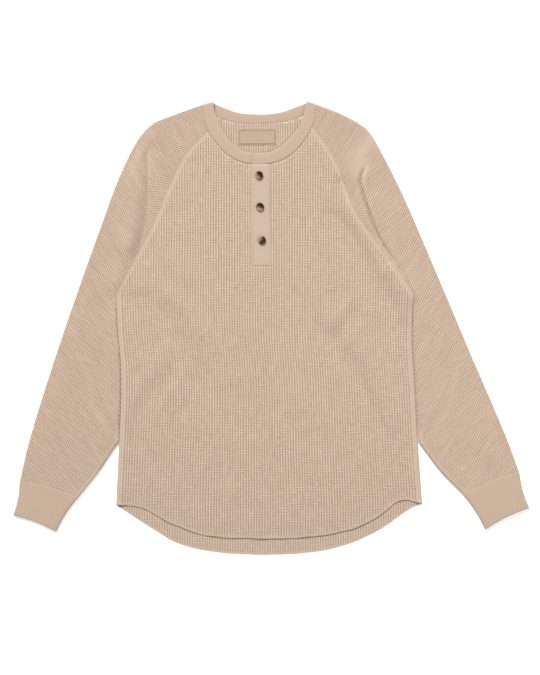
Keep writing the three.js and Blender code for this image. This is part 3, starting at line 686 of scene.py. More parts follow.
def maths(tree, operation, a, b=0.0, clamp=False):
    made = node(tree, "ShaderNodeMath", {0: a, 1: b}, operation=operation, use_clamp=clamp)
    return made.outputs[0]


def plus(tree, a, b):
    return maths(tree, "ADD", a, b)


def minus(tree, a, b, clamp=False):
    return maths(tree, "SUBTRACT", a, b, clamp)


def times(tree, a, b, clamp=False):
    return maths(tree, "MULTIPLY", a, b, clamp)


def blend(tree, share, a, b):
    return plus(tree, a, times(tree, share, minus(tree, b, a)))


def wave_of(tree, cosine):
    return plus(tree, times(tree, cosine, 0.5), 0.5)


def cosine_of(tree, phase):
    return maths(tree, "COSINE", times(tree, phase, 2 * math.pi))


def wave(tree, phase):
    """A wave between 0 and 1 with its crest where phase is a whole number."""
    return wave_of(tree, cosine_of(tree, phase))


def wave_product(tree, a, b):
    """A chequered wave between 0 and 1: its crests alternate along a and along b."""
    return wave_of(tree, times(tree, cosine_of(tree, a), cosine_of(tree, b)))


def blend_colour(tree, share, a, b):
    made = node(tree, "ShaderNodeMix", data_type="RGBA")
    for index, value in ((0, share), (6, a), (7, b)):
        if isinstance(value, bpy.types.NodeSocket):
            tree.links.new(value, made.inputs[index])
        else:
            made.inputs[index].default_value = value
    return made.outputs[2]


def new_material(name):
    material = bpy.data.materials.new(name)
    material.use_nodes = True
    tree = material.node_tree
    tree.nodes.clear()
    shader = node(tree, "ShaderNodeBsdfPrincipled")
    output = node(tree, "ShaderNodeOutputMaterial")
    tree.links.new(shader.outputs[0], output.inputs[0])
    return material, tree, shader


def dress(tree, shader, colour, height, surface):
    """Colour, bump and gloss of a surface."""
    tree.links.new(colour, shader.inputs["Base Color"])
    bump = {"Height": height, "Strength": surface["bump"], "Distance": surface["depth"]}
    raised = node(tree, "ShaderNodeBump", bump)
    tree.links.new(raised.outputs[0], shader.inputs["Normal"])
    shader.inputs["Roughness"].default_value = surface["roughness"]
    shader.inputs["Specular IOR Level"].default_value = surface["gloss"]
    if surface["sheen"]:
        shader.inputs["Sheen Weight"].default_value = surface["sheen"]
        shader.inputs["Sheen Roughness"].default_value = SHEEN_ROUGHNESS


def object_place(tree):
    return node(tree, "ShaderNodeTexCoord").outputs["Object"]


def noise(tree, coordinates, scale, detail=2.0, roughness=0.5):
    inputs = {"Vector": coordinates, "Scale": scale, "Detail": detail, "Roughness": roughness}
    return node(tree, "ShaderNodeTexNoise", inputs).outputs[0]


def attribute(tree, name):
    return node(tree, "ShaderNodeAttribute", attribute_name=name).outputs["Fac"]


def lattice(tree, name):
    cells = node(tree, "ShaderNodeUVMap", uv_map=name).outputs[0]
    split = node(tree, "ShaderNodeSeparateXYZ", {0: cells})
    return split.outputs[0], split.outputs[1]


def plane_place(tree, across, along):
    return node(tree, "ShaderNodeCombineXYZ", {0: across, 1: along}).outputs[0]


def body_level(tree):
    """Height of the knit in its cells: upright ribs, joined here and there by level courses."""
    across, along = lattice(tree, "Cells")
    courses = times(tree, wave(tree, along), attribute(tree, "course"))
    return maths(tree, "MAXIMUM", wave(tree, across), courses)


def body_pit_shade(tree):
    """The painted shade in the pits is darker where the courses are strong, so that the tone stays
    even.
    """
    more = times(tree, attribute(tree, "course"), PIT_SHADE["course"])
    return plus(tree, more, PIT_SHADE["body"])


def sleeve_level(tree):
    """Rows of loops that alternate on the shoulder, slanting lines on the arm."""
    across, along = lattice(tree, "Cells")
    shoulder = wave_product(tree, *lattice(tree, "Rows"))
    courses = times(tree, wave(tree, along), COURSE_LEVEL)
    arm = maths(tree, "MAXIMUM", wave(tree, across), courses)
    return blend(tree, attribute(tree, "slant"), shoulder, arm)


# Painted shade in the pits, from the shoulder's rows to the arm's lines
def sleeve_pit_shade(tree):
    return blend(tree, attribute(tree, "slant"), PIT_SHADE["shoulder"], PIT_SHADE["arm"])


def waffle_material(name, level_of, pit_shade_of):
    """Knit whose pits are darkened with painted shade, with tone that varies by patch, loop, yarn, rib
    and course.
    """
    material, tree, shader = new_material(name)
    weave = attribute(tree, "weave")
    level = level_of(tree)
    pit = times(tree, minus(tree, 1.0, level), weave)
    # the pits' painted shade, strongest at their bottoms
    deep = maths(tree, "POWER", pit, PIT_SHADE_EDGE, clamp=True)
    across, along = lattice(tree, "Cells")
    places = {
        "object": object_place(tree),
        "ribs": plane_place(tree, across, times(tree, along, RIB_STRETCH)),
        "courses": plane_place(tree, times(tree, across, COURSE_STRETCH), along),
    }
    noises = {}
    tone = 0.0
    for key, row in KNIT_TONE.items():
        noises[key] = noise(tree, places[row["place"]], row["scale"], row["detail"])
        tone = plus(tree, times(tree, noises[key], row["share"]), tone)
    spread = times(tree, minus(tree, tone, TONE_START), TONE_GAIN, clamp=True)
    knit = blend_colour(tree, spread, SAND, SAND_PALE)
    base = blend_colour(tree, weave, TAPE_SAND, knit)
    # the pits are darkened towards the deep colour: painted shade
    colour = blend_colour(tree, times(tree, deep, pit_shade_of(tree)), base, SAND_PIT_SHADE)
    height = plus(tree, times(tree, level, weave), times(tree, noises["yarn"], YARN_BUMP))
    dress(tree, shader, colour, height, SURFACE["knit"])
    return material


def jersey_material(name, pale, deep):
    material, tree, shader = new_material(name)
    place = object_place(tree)
    patches = noise(tree, place, 35.0, 3.0)
    yarn = noise(tree, place, 1700.0)
    tone = plus(tree, times(tree, patches, 0.6), times(tree, yarn, 0.4))
    colour = blend_colour(tree, minus(tree, tone, 0.25, clamp=True), deep, pale)
    dress(tree, shader, colour, yarn, SURFACE["jersey"])
    return material


def horn_material():
    """Dark brown horn, paler towards one side of each button, under a soft polish."""
    material, tree, shader = new_material("horn")
    streaks = noise(tree, object_place(tree), 420.0, 3.0, 0.6)
    swirl = times(tree, minus(tree, streaks, 0.5), 1.6)
    paler = plus(tree, attribute(tree, "paler"), swirl)
    share = times(tree, minus(tree, paler, -0.05), 1.4, clamp=True)
    colour = blend_colour(tree, share, HORN_DARK, HORN_PALE)
    dress(tree, shader, colour, streaks, SURFACE["horn"])
    return material


def floor_material():
    material, tree, shader = new_material("floor")
    patches = noise(tree, object_place(tree), 3.0)
    colour = blend_colour(tree, patches, *FLOOR_COLOURS)
    tree.links.new(colour, shader.inputs["Base Color"])
    shader.inputs["Roughness"].default_value = 0.9
    shader.inputs["Specular IOR Level"].default_value = 0.0
    shader.inputs["Emission Color"].default_value = WHITE
    shader.inputs["Emission Strength"].default_value = FLOOR_GLOW
    return material


# Waffle relief on a face of the knit, in shares of RELIEF

def crest(phase):
    return 0.5 + 0.5 * np.cos(2 * np.pi * phase)


def body_relief(across, along, course):
    return np.maximum(crest(across), course * crest(along))


def sleeve_relief(rows_at, cells, slant):
    turns = np.cos(2 * np.pi * rows_at)
    shoulder = 0.5 + 0.5 * turns[..., 0] * turns[..., 1]
    arm = np.maximum(crest(cells[..., 0]), COURSE_LEVEL * crest(cells[..., 1]))
    return mix(shoulder, arm, slant)


def body_lattice(columns, x, y, cell):
    """Wavering cell coordinates of the body's knit, and how strong its courses are."""
    across = columns * BODY_HALF / cell + RIB_WANDER * drift(x, 0.5 * y, size=70, seed=3)
    along = y / cell + COURSE_WANDER * drift(x, y, size=50, seed=5)
    spread = COURSE_SPREAD["start"] + COURSE_SPREAD["drift"] * drift(x, 1.4 * y, size=20, seed=8)
    course = COURSE_SPREAD["least"] + COURSE_SPREAD["more"] * ease(spread)
    return across, along, course


def tape_share(distance):
    """1 on the flat seam tape beside a seam, 0 beyond it."""
    return ease((TAPE_WIDTH + TAPE_EDGE - distance) / TAPE_EDGE)


def tape_form(distance):
    """Height of the seam tape over the knit's face: sunk at the seam, with a soft far edge."""
    return TAPE_RISE * tape_share(distance) - SEAM_DIP * hump(distance, 0, 0.7)


# Body panels

def panel_columns(per_cell, cell, extra=()):
    count = int(BODY_HALF / cell * per_cell)
    inner = np.arange(-count, count + 1) / per_cell * cell / BODY_HALF
    edge = 1 - np.array(SIDE_COLUMNS) / BODY_HALF
    inner = inner[np.abs(inner) < edge[-1] - 0.5 / BODY_HALF]
    return np.unique(np.round(np.concatenate([inner, edge, -edge, np.array(extra, float)]), 7))


def panel_grid(columns, row_step, hem_line, tops, scallop=0.0):
    """x, y and the rows used by each column."""
    waves = np.cos(2 * np.pi * columns * BODY_HALF / BODY_CELL)
    short = np.sin(columns * HEM_WAVE["short"] + HEM_WAVE["shift"])
    slow = np.sin(columns * HEM_WAVE["long"]) + HEM_WAVE["share"] * short
    middle = 1 - np.abs(columns) ** 8
    hem = height_over(hem_line, columns) + scallop * middle * (0.5 * waves + 0.5 * slow)
    rows = np.arange(math.floor(hem.min() / row_step), math.ceil(tops.max() / row_step) + 1)
    levels = (rows * row_step)[:, None]
    start = hem + HEM_ROWS[-1]
    kept = len(HEM_ROWS) - 1
    y = np.vstack([hem + np.array(HEM_ROWS[:-1])[:, None], np.clip(levels, start, tops)])
    low = kept + np.maximum((levels <= start).sum(0) - 1, 0)
    high = kept + (levels < tops).sum(0)
    x = body_middle(y) + columns * body_half(y)
    return x, y, {"low": low, "high": high, "kept": kept}


def turned(x, y, z, columns, turn_down):
    """Mid-surface points, outward directions and the filling of the turned edge, with the side
    seams turned to the other layer."""
    side = np.where(columns < 0, -1.0, 1.0)
    edge = np.where(columns < 0, side_x("left", y), side_x("right", y))
    depth = np.minimum(np.abs(edge - x), EDGE)
    angle = (1 - depth / EDGE) * SEAM_TURN
    curl = np.where(depth < EDGE, curl_at(y), 0.0)
    rolled = edge - side * (EDGE - FOLD_RADIUS * np.sin(angle))
    sign = -1.0 if turn_down else 1.0
    turned_z = z + sign * curl * FOLD_RADIUS * (1 - np.cos(angle))
    points = np.stack([mix(x, rolled, curl), y, turned_z], -1)
    tilt = angle * curl
    out = np.stack([side * np.sin(tilt), np.zeros_like(tilt), -sign * np.cos(tilt)], -1)
    return points, out, EDGE_FILL * tilt / SEAM_TURN


def front_height(x, y, columns, hem_line):
    side_depth = (1 - np.abs(columns)) * body_half(y)
    above_hem = y - height_over(hem_line, columns)
    fade = mix(1.0, ease(side_depth / FOLD_FADE), curl_at(y))
    settled = HEM_DROP * (1 - ease(above_hem / HEM_SETTLE))
    close = (HEM_CLOSE + 0.2 * drift(x, y, size=40, seed=21)) * (1 - ease(above_hem / HEM_CLOSE_OVER))
    height = HIGH + fade * (fold_height(x, y) - settled)
    return np.maximum(height, LOWEST_TOP_LAYER) - fade * close


def placket_sides(y):
    share = (y - PLACKET["bottom"]) / (PLACKET["top"] - PLACKET["bottom"])
    left = mix(PLACKET["left_bottom"], PLACKET["left_top"], share)
    right = mix(PLACKET["right_bottom"], PLACKET["right_top"], share)
    return left, right


def beyond_placket(x, y):
    """Distance outside the placket's outline, below 0 inside it."""
    left, right = placket_sides(y)
    return np.maximum(np.maximum(left - x, x - right), PLACKET["bottom"] - y)


def front_columns(per_cell):
    slit = [SLIT["left"], SLIT["left"] + SLIT_LIP, SLIT["right"] - SLIT_LIP, SLIT["right"]]
    middle, half = body_middle(UNDERARM_Y), body_half(UNDERARM_Y)
    return panel_columns(per_cell, BODY_CELL, [(x - middle) / half for x in slit])


def front_tops(columns, line):
    tops = height_over(line, columns) - SEAM_GAP
    x = body_middle(UNDERARM_Y) + columns * body_half(UNDERARM_Y)
    inside = (x > SLIT["left"] + SLIT_LIP / 2) & (x < SLIT["right"] - SLIT_LIP / 2)
    return np.where(inside, SLIT["bottom"], tops)


def hem_roll(above_hem):
    """1 along the crest of the rolled hem, a little above the edge itself."""
    return hump(above_hem, HEM_CREST, HEM_CREST)


def front_face(per_cell, row_step, outer):
    hem_line, line = smooth(FRONT_HEM), top_line("front")
    columns = front_columns(per_cell)
    x, y, use = panel_grid(columns, row_step, hem_line, front_tops(columns, line), 1.0)
    beyond = beyond_placket(x, y) + UNDER_PLACKET["margin"]
    under = 1 - ease(beyond / UNDER_PLACKET["over"])
    z = front_height(x, y, columns, hem_line) - UNDER_PLACKET["drop"] * under
    points, out, fill = turned(x, y, z, columns, True)
    above_hem = y - height_over(hem_line, columns)
    if not outer:
        inside = KNIT_INSIDE * mix(HEM_THIN, 1.0, ease(above_hem / HEM_THIN_OVER))
        return Sheet(points - out * inside[..., None], **use)
    across, along, course = body_lattice(columns, x, y, BODY_CELL)
    seams = [RAGLAN_LINE["front", side][::4] for side in ("left", "right")]
    to_seam = np.minimum(*(distance_to_line(x, y, seam) for seam in seams))
    to_side = np.minimum(np.abs(x - side_x("left", y)), np.abs(side_x("right", y) - x))
    to_side = np.where(y < UNDERARM_Y, to_side, FAR)
    to_tape = np.minimum(to_seam, to_side - SIDE_TAPE_MORE)
    to_neck = distance_to_line(x, y, neck_part("front")[::4])
    weave = (1 - tape_share(to_tape)) * (1 - under) * ease(to_neck / NECK_DIP["bare"])
    form = tape_form(np.where(to_tape < 3 * TAPE_WIDTH, to_tape, FAR))
    sunk = NECK_DIP["depth"] * hump(to_neck, 0, NECK_DIP["width"])
    edge = hem_roll(above_hem)
    weave = weave * (1 - 0.85 * edge)
    rounded = ease((above_hem + 1.0) / HEM_ROUND)
    face = KNIT_FACE + form + HEM_ROLL * edge + RELIEF * weave * body_relief(across, along, course)
    face = face * rounded - sunk + fill
    cells = np.stack([across, along], -1)
    return Sheet(points + out * face[..., None], **use, cells=cells, weave=weave, course=course)


def back_face(per_cell, row_step, outer):
    hem_line, line = smooth(BACK_HEM), top_line("back")
    columns = panel_columns(per_cell, BACK_CELL)
    tops = height_over(line, columns) - SEAM_GAP
    x, y, use = panel_grid(columns, row_step, hem_line, tops, 0.3)
    points, out, fill = turned(x, y, np.full_like(x, LOW), columns, False)
    across, along, course = body_lattice(columns, x, y, BACK_CELL)
    seams = [RAGLAN_LINE["back", side][::4] for side in ("left", "right")]
    to_seam = np.minimum(*(distance_to_line(x, y, seam) for seam in seams))
    above_hem = y - height_over(hem_line, columns)
    taped = tape_share(to_seam) if outer else 0.0
    weave = (1 - taped) * (1 - 0.6 * hem_roll(above_hem))
    rounded = ease((above_hem + 1.8) / HEM_ROUND)
    woven = BACK_RELIEF * weave * body_relief(across, along, course)
    face = (KNIT_FACE + TAPE_RISE * taped + woven) * rounded + (fill if outer else 0)
    sign = 1.0 if outer else -1.0
    cells = np.stack([across, along], -1)
    face = sign * face
    return Sheet(points + out * face[..., None], **use, cells=cells, weave=weave, course=course)


# Sleeves: each row runs from the back seam round the outer fold to the front seam

def cuff_along(side):
    return unit(np.subtract(CUFF[side]["end_outer"], CUFF[side]["seam_outer"]))


class SleeveFrame:
    """Places of the outer fold and of the two seams, along the length of one sleeve."""

    def __init__(self, side, step):
        self.side = side
        self.toward_body = 1.0 if side == "left" else -1.0
        outer = smooth(SLEEVE_OUTER[side])
        inner = np.vstack([smooth(SLEEVE_BESIDE_BODY[side]), smooth(SLEEVE_FREE_EDGE[side])[1:]])
        self.length = run_of(outer)[-1]
        count = round(self.length / step)
        share = np.linspace(0, 1, count + 1)
        self.run = share * self.length
        split = nearest_share(outer, ACROSS_FROM_UNDERARM[side])
        upper = np.clip(share / split, 0, 1)
        lower = np.clip((share - split) / (1 - split), 0, 1)
        self.below = share > split
        away = unit((-self.toward_body, 0.4)) * SEAM_GAP
        below_edge = at_share(inner, lower)
        apart = SLEEVE_TO_BODY[side] * ease(6 * lower) + SEAM_GAP / 2
        below_edge[:, 0] -= self.toward_body * apart
        self.edge = {}
        for layer in ("front", "back"):
            above_edge = at_share(RAGLAN_LINE[layer, side], upper) + away
            self.edge[layer] = np.where(self.below[:, None], below_edge, above_edge)
        self.curl = np.where(self.below, curl_at(at_share(inner, lower)[:, 1]), 0.0)
        self.outer = at_share(outer, share)
        tangent = unit(np.gradient(self.outer, axis=0))
        self.outward = self.toward_body * np.stack([tangent[:, 1], -tangent[:, 0]], -1)
        self.fold = self.outer - EDGE * self.outward
        self.neck_pull = np.maximum(0, 1 - self.run / NECK_PULL) ** 1.5
        self.cuff_pull = np.maximum(0, 1 - (self.length - self.run) / CUFF_PULL)
        self.cuff_along = cuff_along(side)

    def neck_shift(self, layer, share):
        """How far the first row's points move to lie along the neck seam."""
        seam, free = NECK_LINE[layer]["seam"], NECK_LINE[layer]["free"]
        corner = 0.0 if self.side == "left" else 1.0
        start = nearest_share(seam, RAGLAN_LINE[layer, self.side][0])
        on_seam = mix(corner, start, share)
        at_seam = at_share(seam, on_seam)
        target = at_seam + SEAM_GAP * unit(at_seam - at_share(free, on_seam))
        straight = mix(self.fold[0], self.edge[layer][0], np.asarray(share)[..., None])
        return target - straight

    def place(self, layer, share, j):
        """Plan position at a share of the way from the fold to the seam, for columns j."""
        share = np.asarray(share, float)
        at = mix(self.fold[j], self.edge[layer][j], share[..., None])
        at = at + self.neck_pull[j][..., None] * self.neck_shift(layer, share)
        bow = self.cuff_pull[j] * CUFF_SEAM_BOW * np.sin(np.pi * share)
        return at + bow[..., None] * self.cuff_along

    def width(self, layer):
        return np.linalg.norm(self.edge[layer] - self.fold, axis=1)


def sleeve_edge(frame, layer, part, sign):
    """The last stretch of a layer at its seam, turned towards the other layer by the curl."""
    columns = np.arange(len(frame.run))
    angle = part * SEAM_TURN
    depth = mix(EDGE * (1 - part), EDGE - FOLD_RADIUS * np.sin(angle), frame.curl)
    drop = frame.curl * FOLD_RADIUS * (1 - np.cos(angle))
    at = frame.place(layer, 1 - depth / frame.width(layer), columns)
    height = np.full(len(columns), LOW)
    if layer == "front":
        height = HIGH + (1 - frame.curl) * fold_height(at[:, 0], at[:, 1])
        if frame.side == "right":
            creased, _ = crease_form(at[:, 0], at[:, 1])
            height = height + (1 - frame.curl) * creased
        height = np.maximum(height, LOWEST_TOP_LAYER)
    inward = unit(frame.edge[layer] - frame.fold)
    tilt = angle * frame.curl
    at = at + inward * (EDGE_FILL * tilt / SEAM_TURN)[:, None]
    out = np.column_stack([inward * np.sin(tilt)[:, None], sign * np.cos(tilt)])
    return np.column_stack([at, height - sign * drop]), out


def sleeve_rows(frame, step, under_steps):
    """Mid-surface points, outward directions and distances from the fold, row by row from the
    back seam to the front seam; the first row of the upper layer; and which points are spare."""
    count = len(frame.run)
    columns = np.arange(count)
    down, up = (np.tile([0.0, 0.0, sign], (count, 1)) for sign in (-1.0, 1.0))
    points, outs, across = [], [], []

    def add(row, out, distance):
        points.append(row)
        outs.append(out)
        across.append(distance)

    under_width = frame.width("back")
    for part in EDGE_PARTS[::-1]:
        add(*sleeve_edge(frame, "back", part, -1.0), -(under_width - EDGE * (1 - part)))
    flat = np.full(count, LOW)
    for k in range(under_steps - 1, 0, -1):
        share = (1 - EDGE / under_width) * k / under_steps
        add(np.column_stack([frame.place("back", share, columns), flat]), down, -share * under_width)
    fold = frame.place("front", np.zeros(count), columns)
    for k in range(9):
        angle = math.pi * (k / 8 - 0.5)
        at = fold + frame.outward * FOLD_RADIUS * math.cos(angle)
        height = np.full(count, MIDDLE + FOLD_RADIUS * math.sin(angle))
        out = np.column_stack([frame.outward * math.cos(angle), np.full(count, math.sin(angle))])
        run = np.full(count, FOLD_RADIUS * (angle - math.pi / 2))
        add(np.column_stack([at, height]), out, run)
    top_width = frame.width("front")
    last = top_width - EDGE
    steps = int(last.max() / step)
    first = len(points)
    for k in range(1, steps + 1):
        distance = np.minimum(k * step, last)
        at = frame.place("front", distance / top_width, columns)
        from_seam = mix(FOLD_FADE, top_width - distance, frame.curl)
        fade = ease(np.minimum(distance, from_seam) / FOLD_FADE)
        rise = fold_height(at[:, 0], at[:, 1]) * fade
        height = np.maximum(HIGH + rise, LOWEST_TOP_LAYER)
        if frame.side == "right":
            creased, lean = crease_form(at[:, 0], at[:, 1])
            height = np.maximum(height + creased, CREASE_FLOOR)
            at = at + lean
        add(np.column_stack([at, height]), up, distance)
    for part in EDGE_PARTS:
        add(*sleeve_edge(frame, "front", part, 1.0), top_width - EDGE * (1 - part))
    # rows past a column's own width are spare, so that the edge rows follow its last one
    used = np.minimum(np.ceil(last / step).astype(int), steps)
    rows = np.arange(len(points))[:, None]
    spare = (rows >= first + used) & (rows < first + steps)
    return np.stack(points), np.stack(outs), np.stack(across), first, spare


def sleeve_face(side, step, under_steps, outer):
    frame = SleeveFrame(side, step)
    middle, out, distance, first, spare = sleeve_rows(frame, step, under_steps)
    if not outer:
        return Sheet(middle - out * KNIT_INSIDE), spare
    x, y = middle[..., 0], middle[..., 1]
    cells = arm_lattice(side, x, y)
    rows_at, slant, turning = shoulder_rows(side, x, y)
    under = np.arange(len(middle))[:, None] < first
    width = np.where(under, frame.width("back"), frame.width("front"))
    to_inner = np.maximum(np.where(frame.below, width - np.abs(distance), FAR), 0)
    # on the upper layer the tape shows only past the body's side
    shows = ease((SLEEVE_TAPE["y"] - y) / SLEEVE_TAPE["over"])
    taped = tape_share(to_inner) * np.where(under, 1.0, shows)
    seam = RAGLAN_LINE["front", side][::4]
    to_raglan = np.where(frame.below & ~under, FAR, distance_to_line(x, y, seam))
    weave = (1 - taped) * ease(to_raglan / 1.2 + 0.3) * (1 - ROWS_TURNING[side] * turning)
    weave = weave * ease((frame.length - frame.run) / CUFF_BARE)
    relief = RELIEF * mix(0.9, SLEEVE_RELIEF[side], slant)
    face = KNIT_FACE + TAPE_RISE * taped - SEAM_DIP * hump(to_raglan, 0, 0.8)
    face = face + relief * weave * sleeve_relief(rows_at, cells, slant)
    points = middle + out * face[..., None]
    return Sheet(points, cells=cells, rows_at=rows_at, weave=weave, slant=slant), spare


def arm_lattice(side, x, y):
    """Cell coordinates of the arm's knit, whose ribs lie at a slant across the laid sleeve."""
    turn = SLANT[side]
    across = (x * np.sin(turn) - y * np.cos(turn)) / SLANT_PITCH
    turn = COURSE_TURN[side]
    along = (x * np.cos(turn) + y * np.sin(turn)) / SLANT_COURSE
    return np.stack([across + 0.12 * drift(x, y, size=60, seed=9), along], -1)


def shoulder_rows(side, x, y):
    """Lattice of the level rows, the share of slanting knit, and how near the change is."""
    bend = ROWS_BEND["bend"] * ease((ROWS_BEND["top"] - y) / ROWS_BEND["over"])
    rows = (y + bend * (x - ROWS_MIDDLE[side]) ** 2) / ROW_PITCH + 0.08 * drift(x, y, size=60, seed=17)
    rows_at = np.stack([rows, x / DASH_PITCH[side] + 0.08 * drift(x, y, size=60, seed=19)], -1)
    line = np.array(ROWS_END[side], float)
    edge = np.interp(y, line[:, 0], line[:, 1])
    outward = (edge - x) if side == "left" else (x - edge)
    outward = np.maximum(outward, 1.5 * (line[0, 0] - y))
    slant = ease(0.5 + outward / ROWS_CHANGE_OVER)
    turning = hump(outward, ROWS_TURN["place"], ROWS_TURN["width"])
    turning = turning * ease((y - ROWS_TURN["y"]) / ROWS_TURN["over"])
    return rows_at, slant, turning


def without_spare(sheet, spare):
    """Joins each spare row's point to the first row after the spare ones, in its own column."""
    ids = sheet.ids.copy()
    for i in range(len(ids) - 2, -1, -1):
        ids[i] = np.where(spare[i], ids[i + 1], ids[i])
    sheet.ids = ids
    return sheet


def sleeve(side, material):
    outer = without_spare(*sleeve_face(side, SLEEVE_STEP, 20, True))
    inner = without_spare(*sleeve_face(side, SLEEVE_INSIDE_STEP, 8, False))
    return cloth(f"cloth_sleeve_{side}", outer, inner, material)


# Cuffs, neckband, placket and label

def cuff_ripple(part, share):
    """Slack of a cuff's upper layer: a shallow dent beside its seam, and slow ripples."""
    beside_seam = float(hump(part, CUFF_DENT["place"], CUFF_DENT["width"]))
    dent = CUFF_DENT["depth"] * beside_seam * mix(CUFF_DENT["least"], 1.0, share)
    phase = part * CUFF_RIPPLE["around"] + share * CUFF_RIPPLE["along"]
    slow = CUFF_RIPPLE["height"] * math.sin(phase) * math.sin(math.pi * share)
    return (slow - dent) * math.sin(math.pi * part)


def cuff_rings(side, steps, offset):
    corners = {key: np.array(value, float) for key, value in CUFF[side].items()}
    along = cuff_along(side)
    radius = (HIGH - JERSEY_FACE) / 2
    centre_height = JERSEY_FACE + radius
    rings = []
    for i in range(steps + 1):
        share = i / steps
        waist = CUFF_WAIST * math.sin(math.pi * share)
        outer = mix(corners["seam_outer"], corners["end_outer"], share)
        inner = mix(corners["seam_inner"], corners["end_inner"], share)
        across = unit(inner - outer)
        shift = along * CUFF_GAP * (1 - share)
        outer = outer + across * waist + shift
        inner = inner - across * waist + shift
        reach = radius + JERSEY_FACE
        ring = []
        bow = mix(CUFF_SEAM_BOW, CUFF_END_BOW, share)

        def flat(start, end, height, out):
            for k in range(1, 24):
                part = k / 24
                at = mix(start, end, part) + along * bow * math.sin(math.pi * part)
                ripple = cuff_ripple(part, share) if out > 0 else 0.0
                ring.append((*at, height + out * offset + ripple))

        def fold(centre, direction, begin):
            for k in range(9):
                angle = begin + math.pi * k / 8
                at = centre + direction * (radius + offset) * abs(math.cos(angle))
                ring.append((*at, centre_height + (radius + offset) * math.sin(angle)))

        inner_centre, outer_centre = inner - across * reach, outer + across * reach
        # the ring runs over the top layer from the inner fold, and back under
        fold(inner_centre, across, -math.pi / 2)
        flat(inner_centre, outer_centre, centre_height + radius, 1)
        fold(outer_centre, -across, math.pi / 2)
        flat(outer_centre, inner_centre, centre_height - radius, -1)
        rings.append(ring)
    return np.array(rings)


def cuff(side, material):
    """Outer skin, end rim and inner skin of the cuff, as one closed tube of cloth."""
    steps = 36
    outer = cuff_rings(side, steps, CUFF_FACE)
    inner = cuff_rings(side, steps, -CUFF_INSIDE)[::-1]
    # the knit is turned in at the open end: a rounded lip joins the two skins
    lip = mix(outer[-1], inner[0], 0.5)[None]
    lip[..., :2] += cuff_along(side) * 0.5
    rings = np.concatenate([outer, lip, inner])
    count, around = rings.shape[:2]
    ids = np.arange(count * around).reshape(count, around)
    ids = np.hstack([ids, ids[:, :1]])
    ids = np.vstack([ids, ids[:1]])
    return make_object(f"cloth_cuff_{side}", rings.reshape(-1, 3), grid_triangles(ids), material)


def seam_share_at(x):
    """Share of the front neck seam at which its lower part passes x."""
    seam = NECK_LINE["front"]["seam"]
    low = seam[:, 1] < 275
    run = run_of(seam)
    return float(np.interp(x, seam[low, 0], run[low] / run[-1]))


def band_stations():
    """Seam edge, free edge and middle height of the neckband, from its under end to its upper end."""
    seam_line = NECK_LINE["front"]["seam"]
    under_end, over_end = seam_share_at(BAND_UNDER_END), seam_share_at(BAND_OVER_END)
    stations = []

    def add(layer, share, height, reach=0.0):
        seam = at_share(NECK_LINE[layer]["seam"], share)
        free = at_share(NECK_LINE[layer]["free"], share)
        stations.append((seam + (0, reach), free + (0, reach), height))

    for share in np.linspace(under_end, 0, 110):
        x = at_share(seam_line, share)[0]
        height = mix(BAND_UNDER, BAND_HIGH, ease((BAND_OVER_END + BAND_LAP - x) / BAND_RISE))
        add("front", share, height)
    radius = (BAND_HIGH - BAND_LOW) / 2
    for corner, begin in ((0.0, math.pi / 2), (1.0, -math.pi / 2)):
        for k in range(1, 10):
            angle = begin - math.copysign(math.pi * k / 10, begin)
            height = BAND_LOW + radius + radius * math.sin(angle)
            add("front", corner, height, radius * math.cos(angle))
        if corner == 0.0:
            for share in np.linspace(0, 1, 100):
                add("back", share, BAND_LOW)
    for share in np.linspace(1, over_end, 120):
        add("front", share, BAND_HIGH)
    return stations


def soft_section(count, wide_power, deep_power):
    """Shares of the half width and half height, round a flat section with soft edges."""
    turn = np.linspace(0, 2 * np.pi, count, endpoint=False)
    wide, deep = np.cos(turn), np.sin(turn)
    return np.sign(wide) * np.abs(wide) ** wide_power, np.sign(deep) * np.abs(deep) ** deep_power


def neckband(material):
    wide, deep = soft_section(22, 0.7, 0.75)
    # crowned section, thicker at the folded free edge than at the seam
    deep = deep * mix(1.0, 0.62, (wide + 1) / 2)
    stations = band_stations()
    middles = np.array([(*(0.5 * (seam + free)), height) for seam, free, height in stations])
    travel = unit(np.gradient(middles, axis=0))
    to_end = run_of(middles)[-1] - run_of(middles)
    taper = mix(0.5, 1.0, ease(to_end / 7.0))
    rings = []
    for (seam, free, height), middle, along, thin in zip(stations, middles, travel, taper):
        out = np.array([*(seam - free), 0.0]) / 2
        half = np.linalg.norm(out) - 0.15
        out = unit(out)
        normal = unit(np.cross(along, out))
        rings.append(middle + out * (wide * half)[:, None] + normal * (deep * thin)[:, None])
    return tube("cloth_neckband", np.array(rings), material)


def placket_fall(y):
    """How far the placket sinks towards its lower end."""
    return PLACKET_SLOPE * ease((150 - y) / 50)


def placket_strip(name, material, height, thick, inset=0.0):
    """A flat strip with soft edges, on the placket's outline."""
    rings = []
    wide, deep = soft_section(28, 0.45, 0.6)
    levels = np.linspace(PLACKET["bottom"] + inset, PLACKET["top"] - inset, 90)
    for y in levels:
        left, right = placket_sides(y)
        left, right = left + inset, right - inset
        end = min(y - levels[0], levels[-1] - y)
        full = mix(0.25, 1.0, float(ease(end / 3.0)))
        x = (left + right) / 2 + wide * (right - left) / 2
        swell = 0.12 * np.sin(y / 7.3) * np.cos(wide * 1.5)
        z = height + deep * thick / 2 * full + swell - placket_fall(y)
        rings.append(np.stack([x, np.full_like(x, y), z], -1))
    return tube(name, np.array(rings), material)


def label_patch(material):
    rings = []
    wide, deep = soft_section(28, 0.3, 0.6)
    x = (LABEL["left"] + LABEL["right"]) / 2 + wide * (LABEL["right"] - LABEL["left"]) / 2
    z = LABEL["height"] + 0.25 * deep
    for y in np.linspace(LABEL["bottom"], LABEL["top"], 25):
        rings.append(np.stack([x, np.full_like(x, y), z], -1))
    return tube("label_patch", np.array(rings), material, crisp=True)


# Sewing

